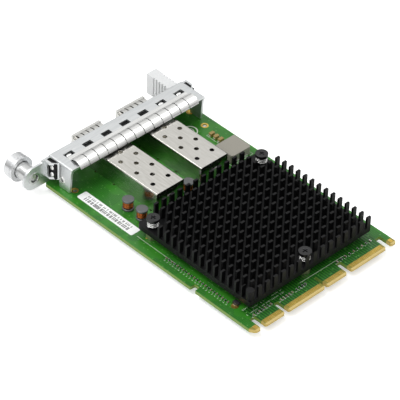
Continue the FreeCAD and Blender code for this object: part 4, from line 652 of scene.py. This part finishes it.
def frame_of(low, high, margin_mm):
    """The four sides of a rectangle round a part's box, as runs on the board's top face."""
    margin = margin_mm * MM
    left, right, front, rear = low.x - margin, high.x + margin, low.y - margin, high.y + margin
    outline = ((left, front), (right, front), (right, rear), (left, rear))
    corners = [Vector((*corner, BOARD_HIGH.z)) for corner in outline]
    return list(zip(corners, corners[1:] + corners[:1]))


# ---- sizes and colours a user would change ----


def length(name, description, millimetres):
    """A length property with its default in metres."""
    return bpy.props.FloatProperty(
        name=name, description=description, default=millimetres * MM, unit="LENGTH", precision=5)


def colour(name, description, hex_colour):
    """A colour property with its default given in sRGB."""
    return bpy.props.FloatVectorProperty(
        name=name, description=description, default=linear(hex_colour)[:3], subtype="COLOR", min=0.0, max=1.0)


def angle(name, description, degrees):
    """An angle property with its default given in degrees."""
    return bpy.props.FloatProperty(
        name=name, description=description, default=math.radians(degrees), subtype="ANGLE")


def number(name, description, value, least=0.0):
    """A plain number property."""
    return bpy.props.FloatProperty(name=name, description=description, default=value, min=least)


class CardFinishes(bpy.types.PropertyGroup):
    """Colours of the board and the studio floor."""

    mask: colour("Mask", "Solder mask over bare laminate", "#226A1B")
    copper_under_mask: colour("Copper under mask", "Solder mask where copper lies under it", "#358322")
    floor: colour("Floor", "Studio floor and backdrop", "#F4F4F4")


class CardSmallParts(bpy.types.PropertyGroup):
    """Sizes of the small parts on the board."""

    end_length: length("End length", "Length of the tinned end of a two-ended part", 0.28)
    end_skin: length("End skin", "How far a tinned end stands proud of its body", 0.02)
    lead_pitch: length("Lead pitch", "Spacing of a support chip's leads", 0.65)
    lead_width: length("Lead width", "Width of a support chip's lead", 0.3)
    winding_wire: length("Winding wire", "Diameter of the inductors' wire", 0.44)
    pad_radius: length("Pad radius", "Radius of a bare gold test pad", 0.45)


class CardFasteners(bpy.types.PropertyGroup):
    """Sizes of the screws' recesses and of the springs."""

    recess_span: length("Recess span", "Width across a sink screw's cross recess", 2.7)
    recess_width: length("Recess width", "Width of one bar of the recess", 0.62)
    recess_depth: length("Recess depth", "Depth of the recess", 0.7)
    spring_wire: length("Spring wire", "Diameter of the heat sink springs' wire", 0.5)
    spring_turns: number("Spring turns", "Turns of each heat sink spring", 3.5, 1.0)
    return_wire: length("Return wire", "Diameter of the thumbscrew spring's wire", 0.4)
    return_turns: number("Return turns", "Turns of the thumbscrew's spring", 5.0, 1.0)


class CardPrint(bpy.types.PropertyGroup):
    """Sizes of the printed marks."""

    line_width: length("Line width", "Width of a screen-printed line", 0.14)
    thickness: length("Ink thickness", "Height of the ink over the mask", 0.02)


class CardStage(bpy.types.PropertyGroup):
    """Camera and lamps."""

    azimuth: angle("Azimuth", "Camera direction round the card", 134.81)
    elevation: angle("Elevation", "Camera height above the horizon", 39.73)
    roll: angle("Roll", "Camera turned about its own axis", 2.09)
    distance: length("Distance", "Camera distance from the card's middle", 986.8)
    lens: number("Lens", "Focal length in millimetres", 230.72, 1.0)
    key: number("Key lamp", "Key lamp power in watts", 3.6)
    fill: number("Fill lamp", "Power of the fill lamp and the rim lamp in watts", 1.1)
    sky: number("Sky", "Strength of the studio's ambient light", 0.5)


# ---- operators ----


class CardOperator:
    """What every operator of the card shares."""

    bl_options = {"REGISTER", "UNDO"}


class NETCARD_OT_board(CardOperator, bpy.types.Operator):
    """Finish the circuit board, its contacts and its gold pads"""

    bl_idname = "netcard.board"
    bl_label = "Circuit board"

    def execute(self, context):
        parts = context.scene.card_small_parts
        wear("circuit_board", "solder_mask")
        for node in ("edge_contacts", "ground_rings", "connector_leads"):
            wear(node, "gold_plating")
        pads = [on_board(31.0, -64.6), on_board(-36.1, -71.0), on_board(20.6, -71.2), on_board(-20.8, -71.6)]
        sizes = {"Radius": parts.pad_radius, "Thickness": 0.02 * MM}
        grown("test_pads", disc_tree, "gold_plating", pads, sizes)
        grounds = [on_board(33.1, -15.0), on_board(-34.7, -110.0)]
        sizes = {"Radius": 1.5 * MM, "Thickness": 0.03 * MM, "Sides": 32}
        grown("ground_pads", disc_tree, "gold_plating", grounds, sizes)
        return {"FINISHED"}


class NETCARD_OT_print(CardOperator, bpy.types.Operator):
    """Print the plain lines, rings and ticks on the board and lay the bars on the label"""

    bl_idname = "netcard.print"
    bl_label = "Print and label"

    def execute(self, context):
        ink = context.scene.card_print
        # One seed for all that is drawn by chance, so that each run prints the same marks.
        draw = random.Random(11)
        self.print_lines(ink)
        self.print_rings(ink)
        self.lay_bars(draw)
        self.print_ticks(ink, draw)
        return {"FINISHED"}

    def print_lines(self, ink):
        """Two straight lines, and a frame round each group of large power parts."""
        runs = [(on_board(33.0, -68.0), on_board(33.1, -46.5)), (on_board(6.3, -7.9), on_board(-17.7, -7.6))]
        for node, margin_mm in (("power_inductor", 0.4), ("moulded_capacitors", 0.5)):
            runs += frame_of(*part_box(node), margin_mm)
        lines = strips("printed_lines", runs, ink.line_width, ink.thickness)
        piece("printed_lines", lines, "print_ink")

    def print_rings(self, ink):
        """Two plain rings, one inside the other, near the faceplate."""
        top = ink.thickness / MM
        for name, radius, band in (("printed_ring", 3.3, 0.55), ("printed_inner_ring", 1.7, 0.3)):
            profile = [(radius - band, 0.0), (radius, 0.0), (radius, top), (radius - band, top)]
            ring = lathed(name, profile, on_board(-26.2, -101.0), (0, 0, 1))
            piece(name, ring, "print_ink")

    def lay_bars(self, draw):
        """Two rows of plain bars along the label, unevenly spaced."""
        wear("label", "label_paper")
        low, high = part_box("label")
        margin = 3.2 * MM
        # Each row: its share of the way across, its bars' length and width, and the gaps to draw from.
        rows = ((0.3, 1.0, 0.3, (0.5, 0.8, 1.3)), (0.66, 1.7, 0.38, (0.55, 0.75, 1.0)))
        for index, (across, span, width, gaps) in enumerate(rows, 1):
            bars, place = [], low.y + margin
            while place < high.y - margin:
                bars.append(Vector((low.x + (high.x - low.x) * across, place, high.z)))
                place += draw.choice(gaps) * MM
            sizes = {"Length": span * MM, "Width": width * MM, "Height": 0.01 * MM}
            grown("label_bars_%d" % index, block_tree, "label_ink", bars, sizes)

    def print_ticks(self, ink, draw):
        """A short tick beside each chip part, and a loose field of them near the contacts."""
        ticks, turns = [], []

        def mark(place):
            ticks.append(place)
            turns.append((0.0, 0.0, draw.choice((0.0, math.pi / 2))))

        for node in ("chip_capacitors", "chip_resistors"):
            for _, high in loose_parts(node):
                mark(Vector((high.x + 0.75 * MM, high.y, BOARD_HIGH.z)))
        rows, columns, share_marked = 3, 30, 0.55
        first_x, first_y, column_pitch, row_pitch = 12.4, -8.4, 0.72, 1.5
        for row in range(rows):
            for column in range(columns):
                if draw.random() < share_marked:
                    mark(on_board(first_x + column_pitch * column, first_y - row_pitch * row))
        sizes = {"Length": 0.7 * MM, "Width": 0.16 * MM, "Height": ink.thickness}
        grown("printed_ticks", block_tree, "print_ink", ticks, sizes, turns)


class NETCARD_OT_small_parts(CardOperator, bpy.types.Operator):
    """Build the two-ended parts with their tinned ends, and the chips with their leads"""

    bl_idname = "netcard.small_parts"
    bl_label = "Small parts"

    def execute(self, context):
        parts = context.scene.card_small_parts
        self.build_two_ended(parts)
        self.build_chips(parts)
        return {"FINISHED"}

    def build_two_ended(self, parts):
        """Bodies in their own finish, and tinned ends that stand a little proud of them."""
        ends, end_turns = [], []
        rows = (("chip_capacitors", "capacitor_ceramic"), ("chip_resistors", "resistor_ceramic"),
                ("underside_capacitors", "capacitor_ceramic"))
        for node, slot in rows:
            bodies, turns = [], []
            for low, high in loose_parts(node):
                foot = centred(low, high, low.z)
                along_x = high.x - low.x > high.y - low.y
                span, across = sorted((high.x - low.x, high.y - low.y), reverse=True)
                turn = (0.0, 0.0, 0.0 if along_x else math.pi / 2)
                reach = (span - parts.end_length) / 2
                step = Vector((reach, 0, 0)) if along_x else Vector((0, reach, 0))
                bodies.append(foot)
                turns.append(turn)
                ends += [foot - step, foot + step]
                end_turns += [turn, turn]
            tall = high.z - low.z
            sizes = {"Length": span - parts.end_length, "Width": across - 2 * parts.end_skin,
                     "Height": tall - parts.end_skin}
            grown(node + "_bodies", block_tree, slot, bodies, sizes, turns, node=node)
        # All the two-ended parts are one size, so the last one's ends fit them all.
        sizes = {"Length": parts.end_length, "Width": across, "Height": tall}
        grown("tinned_ends", block_tree, "solder", ends, sizes, end_turns)

    def build_chips(self, parts):
        """Support chips, with a row of leads down two sides of each."""
        dressed("small_ics", "chip_package", bevel_mm=0.08)
        sheet, reach = 0.15 * MM, 0.2 * MM
        leads = []
        for low, high in loose_parts("small_ics"):
            count = int((high.y - low.y) / parts.lead_pitch) - 1
            foot = low.z if low.z > BOARD_LOW.z / 2 else BOARD_LOW.z - sheet
            for index in range(count):
                y = (low.y + high.y) / 2 + (index - (count - 1) / 2) * parts.lead_pitch
                leads += [Vector((x, y, foot)) for x in (low.x - reach, high.x + reach)]
        sizes = {"Length": 0.6 * MM, "Width": parts.lead_width, "Height": sheet}
        grown("chip_leads", block_tree, "solder", leads, sizes)


class NETCARD_OT_power_parts(CardOperator, bpy.types.Operator):
    """Wind the drum inductors and finish the moulded power parts"""

    bl_idname = "netcard.power_parts"
    bl_label = "Power parts"

    def execute(self, context):
        dressed("inductor_cores", "ferrite", bevel_mm=0.25, segments=3)
        self.wind_cores(context.scene.card_small_parts.winding_wire)
        dressed("power_inductor", "pressed_iron", bevel_mm=0.3, segments=3)
        dressed("moulded_capacitors", "moulded_case", bevel_mm=0.12, segments=2)
        self.add_terminals()
        return {"FINISHED"}

    def wind_cores(self, wire):
        """One close layer of round wire on each drum."""
        feet = []
        for low, high in loose_parts("inductor_windings"):
            feet.append(centred(low, high, low.z + wire / 2))
        # The three coils are alike, so the last one's box sizes them all.
        rise = high.z - low.z - wire
        sizes = {"Turns": rise / wire, "Radius": (high.x - low.x - wire) / 2, "Rise": rise, "Wire": wire,
                 "Steps": 36}
        grown("copper_windings", coil_tree, "copper_winding", feet, sizes, node="inductor_windings")

    def add_terminals(self):
        """The large inductor's two terminals, and a tab at each end of the moulded capacitors."""
        low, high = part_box("power_inductor")
        proud = 0.05 * MM
        terminals = [Vector(((low.x + high.x) / 2, y, BOARD_HIGH.z)) for y in (low.y - proud, high.y + proud)]
        sizes = {"Length": 6.0 * MM, "Width": 0.5 * MM, "Height": 1.1 * MM}
        grown("inductor_terminals", block_tree, "solder", terminals, sizes)
        tabs = []
        for low, high in loose_parts("moulded_capacitors"):
            middle = centred(low, high, BOARD_HIGH.z)
            if high.x - low.x > high.y - low.y:
                tabs += [Vector((x, middle.y, middle.z)) for x in (low.x, high.x)]
            else:
                tabs += [Vector((middle.x, y, middle.z)) for y in (low.y, high.y)]
        sizes = {"Length": 0.5 * MM, "Width": 0.9 * MM, "Height": 0.7 * MM}
        grown("capacitor_tabs", block_tree, "solder", tabs, sizes)


class NETCARD_OT_heat_sink(CardOperator, bpy.types.Operator):
    """Finish the controller, its pad, the heat sink and the sprung screws that hold it"""

    bl_idname = "netcard.heat_sink"
    bl_label = "Heat sink"

    def execute(self, context):
        sizes = context.scene.card_fasteners
        dressed("controller_chip", "chip_package", bevel_mm=0.15, segments=2)
        wear("thermal_pad", "thermal_gel")
        dressed("heat_sink", "anodised_aluminium", bevel_mm=0.14)
        dressed("heat_sink_standoffs", "standoff_brass", bevel_mm=0.1)
        cutters = []
        for low, high in loose_parts("heat_sink_screws"):
            cutters.append(cross_recess(centred(low, high, high.z), (0, 0, 1), span=sizes.recess_span,
                                        width=sizes.recess_width, depth=sizes.recess_depth))
        dressed("heat_sink_screws", "black_steel", bevel_mm=0.32, segments=3, cutters=cutters)
        self.wind_springs(sizes)
        return {"FINISHED"}

    def wind_springs(self, sizes):
        """A coil of round wire under each screw's head."""
        wire = sizes.spring_wire
        feet = []
        for low, high in loose_parts("heat_sink_springs"):
            feet.append(centred(low, high, low.z + wire / 2))
        # The springs are alike too.
        coil = {"Turns": sizes.spring_turns, "Radius": (high.x - low.x - wire) / 2, "Wire": wire,
                "Rise": high.z - low.z - wire, "Steps": 28}
        grown("sink_coils", coil_tree, "spring_wire", feet, coil, node="heat_sink_springs")


class NETCARD_OT_cages(CardOperator, bpy.types.Operator):
    """Finish the two module cages, their collars and their connectors"""

    bl_idname = "netcard.cages"
    bl_label = "Cages"

    def execute(self, context):
        for side in ("left", "right"):
            dressed(side + "_cage", "cage_sheet", bevel_mm=0.08)
            dressed(side + "_cage_collar", "collar_sheet", bevel_mm=0.06)
            dressed(side + "_connector", "connector_plastic", bevel_mm=0.12)
        return {"FINISHED"}


class NETCARD_OT_faceplate(CardOperator, bpy.types.Operator):
    """Finish the folded faceplate with its gaskets, link lights and fixing screws"""

    bl_idname = "netcard.faceplate"
    bl_label = "Faceplate"

    def execute(self, context):
        dressed("faceplate", "plated_steel", bevel_mm=0.14, segments=2)
        dressed("top_gasket", "spring_strip", bevel_mm=0.05)
        self.line_side_gaskets()
        self.back_windows()
        self.form_side_hole()
        dressed("link_lights", "lens_plastic", bevel_mm=0.05)
        dressed("faceplate_screws", "screw_steel", bevel_mm=0.1)
        self.fill_arch()
        self.fill_slots()
        return {"FINISHED"}

    def line_side_gaskets(self):
        """Sprung strip down each side, whose inner faces are painted shade in soot black."""
        bare_strip = 0.85 * MM
        sides = dressed("side_gaskets", "spring_strip", bevel_mm=0.05)
        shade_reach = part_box("side_gaskets")[1].x - bare_strip
        # Faces inside this reach are painted shade in soot black.
        repaint(sides, "foam", lambda centre: abs(centre.x) < shade_reach)

    def back_windows(self):
        """A soot-black block of painted shade and two sprung contact domes just behind the window in each
        side wall's step.
        """
        pads, domes = [], []
        for side in (-1, 1):
            pads.append(point(side * 35.8, -112.2, 3.9))
            domes += [point(side * 36.75, -111.95, height) for height in (5.5, 8.7)]
        sizes = {"Length": 2.0 * MM, "Width": 4.4 * MM, "Height": 7.0 * MM}
        # The soot-black block is painted shade that darkens the window.
        grown("window_painted_shade", block_tree, "foam", pads, sizes)
        sizes = {"Length": 1.3 * MM, "Width": 2.0 * MM, "Height": 2.0 * MM}
        grown("window_domes", dome_tree, "spring_strip", domes, sizes)

    def form_side_hole(self):
        """The formed rim round the small round hole in the side wall, raised as the punch leaves it."""
        hole = point(35.4, -107.8, 4.4)
        profile = [(0.88, -0.05), (1.7, -0.05), (1.65, 0.12), (1.35, 0.28), (1.02, 0.28), (0.88, 0.16)]
        rim = lathed("formed_rim", profile, hole, axis=(1, 0, 0), sides=32)
        piece("formed_rim", rim, "spring_strip")

    def fill_arch(self):
        """A soot-black rod inside the sprung strip's arch: painted shade, seen as the dark of its slits."""
        low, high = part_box("top_gasket")
        sheet, clearance, bore = 0.2 * MM, 0.15 * MM, 3.53 * MM
        setback, end_gap, steps = 4.45 * MM, 2.4 * MM, 8
        centre_y, centre_z = low.y + setback, high.z - sheet - bore
        radius = bore - clearance
        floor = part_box("faceplate")[1].z + clearance
        half = math.acos((floor - centre_z) / radius)
        outline = []
        for step in range(steps + 1):
            turn = half * (2 * step / steps - 1)
            outline.append((centre_y + radius * math.sin(turn), centre_z + radius * math.cos(turn)))
        shape = bmesh.new()
        first, last = ([shape.verts.new((x, y, z)) for y, z in outline]
                       for x in (low.x + end_gap, high.x - end_gap))
        close_prism(shape, first, last)
        piece("arch_painted_shade", kept_mesh(shape, "arch_painted_shade"), "foam")

    def fill_slots(self):
        """A soot-black strip under the flange's row of slots, painted shade seen as the dark of the slots,
        and sprung domes that show in three of them.
        """
        row, flange = -110.9 * MM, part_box("faceplate")[1].z
        dome_depth, shade_depth = 1.0 * MM, 1.4 * MM
        domes = [Vector((x * MM, row, flange - dome_depth)) for x in (-29.1, -19.4, 29.1)]
        sizes = {"Length": 2.9 * MM, "Width": 1.7 * MM, "Height": 1.7 * MM}
        grown("slot_domes", dome_tree, "spring_strip", domes, sizes)
        # The soot-black strip is painted shade under the slots.
        low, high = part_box("top_gasket")
        foot = Vector((0.0, row, flange - shade_depth))
        sizes = {"Length": high.x - low.x, "Width": 3.6 * MM, "Height": 0.35 * MM}
        grown("slot_painted_shade", block_tree, "foam", [foot], sizes)


class NETCARD_OT_pull_tab(CardOperator, bpy.types.Operator):
    """Finish the pull tab and its screws"""

    bl_idname = "netcard.pull_tab"
    bl_label = "Pull tab"

    def execute(self, context):
        dressed("pull_tab", "tab_plastic", bevel_mm=0.2, segments=2)
        dressed("pull_tab_screws", "screw_steel", bevel_mm=0.12, segments=2)
        return {"FINISHED"}


class NETCARD_OT_thumbscrew(CardOperator, bpy.types.Operator):
    """Finish the captive thumbscrew, each part on the body that moves it"""

    bl_idname = "netcard.thumbscrew"
    bl_label = "Thumbscrew"

    def execute(self, context):
        dressed("thumbscrew_ferrule", "screw_steel", bevel_mm=0.12, segments=2)
        dressed("thumbscrew_washer", "screw_steel", bevel_mm=0.06, body="seat")
        dressed("thumbscrew_knob", "knob_metal", bevel_mm=0.16, segments=2, body="knob")
        low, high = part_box("thumbscrew_screw")
        face = Vector(((low.x + high.x) / 2, low.y, (low.z + high.z) / 2))
        cutter = cross_recess(face, (0, -1, 0), span=3.2 * MM, width=0.7 * MM, depth=0.35 * MM)
        dressed("thumbscrew_screw", "screw_steel", bevel_mm=0.12, segments=2, body="knob", cutters=[cutter])
        self.wind_return_spring(context.scene.card_fasteners)
        return {"FINISHED"}

    def wind_return_spring(self, sizes):
        """The coil that holds the knob out, wound at its rest length."""
        low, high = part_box("thumbscrew_spring")
        wire, rest = sizes.return_wire, high.y - low.y
        foot = Vector(((low.x + high.x) / 2, low.y + wire / 2, (low.z + high.z) / 2))
        coil = {"Turns": sizes.return_turns, "Radius": (high.x - low.x - wire) / 2, "Wire": wire,
                "Rise": rest - wire, "Steps": 20}
        laid_along_y = [(-math.pi / 2, 0.0, 0.0)]
        spring = grown("return_coil", coil_tree, "spring_wire", [foot], coil, laid_along_y,
                       node="thumbscrew_spring")
        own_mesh(spring)


class NETCARD_OT_stage(CardOperator, bpy.types.Operator):
    """Set the floor, the soft lamps, the ambient light and the camera"""

    bl_idname = "netcard.stage"
    bl_label = "Stage"

    def execute(self, context):
        scene, stage = context.scene, context.scene.card_stage
        low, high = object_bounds()
        middle = (low + high) / 2
        self.lay_floor(Vector((middle.x, middle.y, low.z)), scene.card_finishes.floor)
        self.set_lamps(scene, stage, middle)
        self.light_room(scene, stage.sky)
        self.set_camera(scene, stage)
        scene.view_settings.view_transform = "Standard"
        return {"FINISHED"}

    def lay_floor(self, under, tone):
        """A square of paper just below the lowest part, 3 m from its middle to each side."""
        gap, reach = Vector((0, 0, 0.05 * MM)), 3.0
        shape = bmesh.new()
        bmesh.ops.create_grid(shape, x_segments=1, y_segments=1, size=reach)
        bmesh.ops.translate(shape, verts=shape.verts, vec=under - gap)
        floor = linked("studio_floor", kept_mesh(shape, "studio_floor"))
        floor.data.materials.append(self.floor_paper(tone))
        floor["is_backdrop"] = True

    def floor_paper(self, tone):
        """Seamless paper: diffuse, lifted for the camera and for what mirrors it, and clear from below."""
        camera_lift, gloss_lift = 0.45, 0.1
        material = bpy.data.materials.new("Seamless paper")
        material.use_nodes = True
        tree = material.node_tree
        tree.nodes.clear()
        fibre = add(tree, "ShaderNodeTexNoise", inputs={
            "Vector": add(tree, "ShaderNodeTexCoord").outputs["Object"], "Scale": per_metre(2.0)})
        paper = add(tree, "ShaderNodeMix", COLOUR_MIX, {
            0: fibre.outputs["Fac"], 6: (*tone, 1.0), 7: linear("#FAFAFA")})
        plain = add(tree, "ShaderNodeBsdfDiffuse", inputs={"Color": paper.outputs[2]})
        path = add(tree, "ShaderNodeLightPath").outputs
        mirrored = add(tree, "ShaderNodeMath", TIMES, {0: path["Is Glossy Ray"], 1: gloss_lift})
        lift = add(tree, "ShaderNodeMath", {"operation": "MULTIPLY_ADD"}, {
            0: path["Is Camera Ray"], 1: camera_lift, 2: mirrored.outputs[0]})
        glow = add(tree, "ShaderNodeEmission", inputs={"Color": (1, 1, 1, 1), "Strength": lift.outputs[0]})
        both = add(tree, "ShaderNodeAddShader", inputs={0: plain.outputs[0], 1: glow.outputs[0]})
        under = add(tree, "ShaderNodeNewGeometry").outputs["Backfacing"]
        clear = add(tree, "ShaderNodeBsdfTransparent")
        sheet = add(tree, "ShaderNodeMixShader", inputs={0: under, 1: both.outputs[0], 2: clear.outputs[0]})
        add(tree, "ShaderNodeOutputMaterial", inputs={"Surface": sheet.outputs[0]})
        return material

    def set_lamps(self, scene, stage, middle):
        """Three square soft lamps that face the middle of the card."""
        # Each lamp: its name, its place from the middle and its side in metres, and its power.
        lamps = (
            ("key_lamp", Vector((0.3, -0.22, 0.72)), 0.5, stage.key),
            ("fill_lamp", Vector((0.6, 0.4, 0.4)), 0.5, stage.fill),
            ("rim_lamp", Vector((-0.5, 0.1, 0.6)), 0.4, stage.fill),
        )
        for name, offset, side, power in lamps:
            light = bpy.data.lights.new(name, "AREA")
            light.size, light.energy = side, power
            lamp = bpy.data.objects.new(name, light)
            lamp.location = middle + offset
            lamp.rotation_euler = (-offset).to_track_quat("-Z", "Y").to_euler()
            scene.collection.objects.link(lamp)

    def light_room(self, scene, strength):
        """A pale studio: even ambient light, and a white backdrop for the camera, gloss and glass."""
        world = bpy.data.worlds.new("Studio")
        world.use_nodes = True
        scene.world = world
        tree = world.node_tree
        tree.nodes.clear()
        path = add(tree, "ShaderNodeLightPath").outputs
        seen = add(tree, "ShaderNodeMath", LARGER, {0: path["Is Camera Ray"], 1: path["Is Transmission Ray"]})
        # What gloss mirrors is dim at the horizon and white overhead.
        looking = add(tree, "ShaderNodeTexCoord").outputs["Generated"]
        rise = add(tree, "ShaderNodeSeparateXYZ", inputs={"Vector": looking}).outputs["Z"]
        softbox = add(tree, "ShaderNodeMapRange", inputs={
            "Value": rise, "From Min": 0.05, "From Max": 0.6, "To Min": 0.3, "To Max": 0.98})
        mirrored = add(tree, "ShaderNodeMath", TIMES, {0: path["Is Glossy Ray"], 1: softbox.outputs[0]})
        backdrop = add(tree, "ShaderNodeMath", LARGER, {0: seen.outputs[0], 1: mirrored.outputs[0]})
        ambient = add(tree, "ShaderNodeMath", TIMES, {0: path["Is Diffuse Ray"], 1: strength})
        level = add(tree, "ShaderNodeMath", LARGER, {0: backdrop.outputs[0], 1: ambient.outputs[0]})
        sky = add(tree, "ShaderNodeBackground", inputs={"Color": (1, 1, 1, 1), "Strength": level.outputs[0]})
        add(tree, "ShaderNodeOutputWorld", inputs={"Surface": sky.outputs[0]})

    def set_camera(self, scene, stage):
        """A long lens looking down on the card from its contact end."""
        target = point(0.5, -67.4)
        level = math.cos(stage.elevation)
        back = Vector((math.sin(stage.azimuth) * level, -math.cos(stage.azimuth) * level,
                       math.sin(stage.elevation)))
        right = (-back).cross(Vector((0, 0, 1))).normalized()
        up = right.cross(-back)
        rolled_right = math.cos(stage.roll) * right + math.sin(stage.roll) * up
        rolled_up = math.cos(stage.roll) * up - math.sin(stage.roll) * right
        view = Matrix((rolled_right, rolled_up, back)).transposed().to_4x4()
        view.translation = target + stage.distance * back
        lens = bpy.data.cameras.new("studio_camera")
        lens.lens = stage.lens
        lens.clip_end = 10.0
        camera = bpy.data.objects.new("studio_camera", lens)
        camera.matrix_world = view
        scene.collection.objects.link(camera)
        scene.camera = camera


class NETCARD_PT_panel(bpy.types.Panel):
    """Lists the steps that dress the card"""

    bl_idname = "NETCARD_PT_panel"
    bl_label = "Network card"
    bl_space_type = "VIEW_3D"
    bl_region_type = "UI"
    bl_category = "Network card"

    def draw(self, context):
        for step in STEPS:
            self.layout.operator(step.bl_idname)
        for group in SETTINGS:
            box = self.layout.box()
            for name in SETTINGS[group].__annotations__:
                box.prop(getattr(context.scene, group), name)


SETTINGS = {
    "card_finishes": CardFinishes,
    "card_small_parts": CardSmallParts,
    "card_fasteners": CardFasteners,
    "card_print": CardPrint,
    "card_stage": CardStage,
}
STEPS = (
    NETCARD_OT_board,
    NETCARD_OT_print,
    NETCARD_OT_small_parts,
    NETCARD_OT_power_parts,
    NETCARD_OT_heat_sink,
    NETCARD_OT_cages,
    NETCARD_OT_faceplate,
    NETCARD_OT_pull_tab,
    NETCARD_OT_thumbscrew,
    NETCARD_OT_stage,
)


def register():
    for group in SETTINGS.values():
        bpy.utils.register_class(group)
    for name, group in SETTINGS.items():
        setattr(bpy.types.Scene, name, bpy.props.PointerProperty(type=group))
    for step in STEPS:
        bpy.utils.register_class(step)
    bpy.utils.register_class(NETCARD_PT_panel)


def unregister():
    bpy.utils.unregister_class(NETCARD_PT_panel)
    for step in reversed(STEPS):
        bpy.utils.unregister_class(step)
    for name, group in SETTINGS.items():
        delattr(bpy.types.Scene, name)
        bpy.utils.unregister_class(group)


def main():
    """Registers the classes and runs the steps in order."""
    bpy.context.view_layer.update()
    register()
    bpy.ops.netcard.board()
    bpy.ops.netcard.print()
    bpy.ops.netcard.small_parts()
    bpy.ops.netcard.power_parts()
    bpy.ops.netcard.heat_sink()
    bpy.ops.netcard.cages()
    bpy.ops.netcard.faceplate()
    bpy.ops.netcard.pull_tab()
    bpy.ops.netcard.thumbscrew()
    bpy.ops.netcard.stage()


if __name__ == "__main__":
    main()
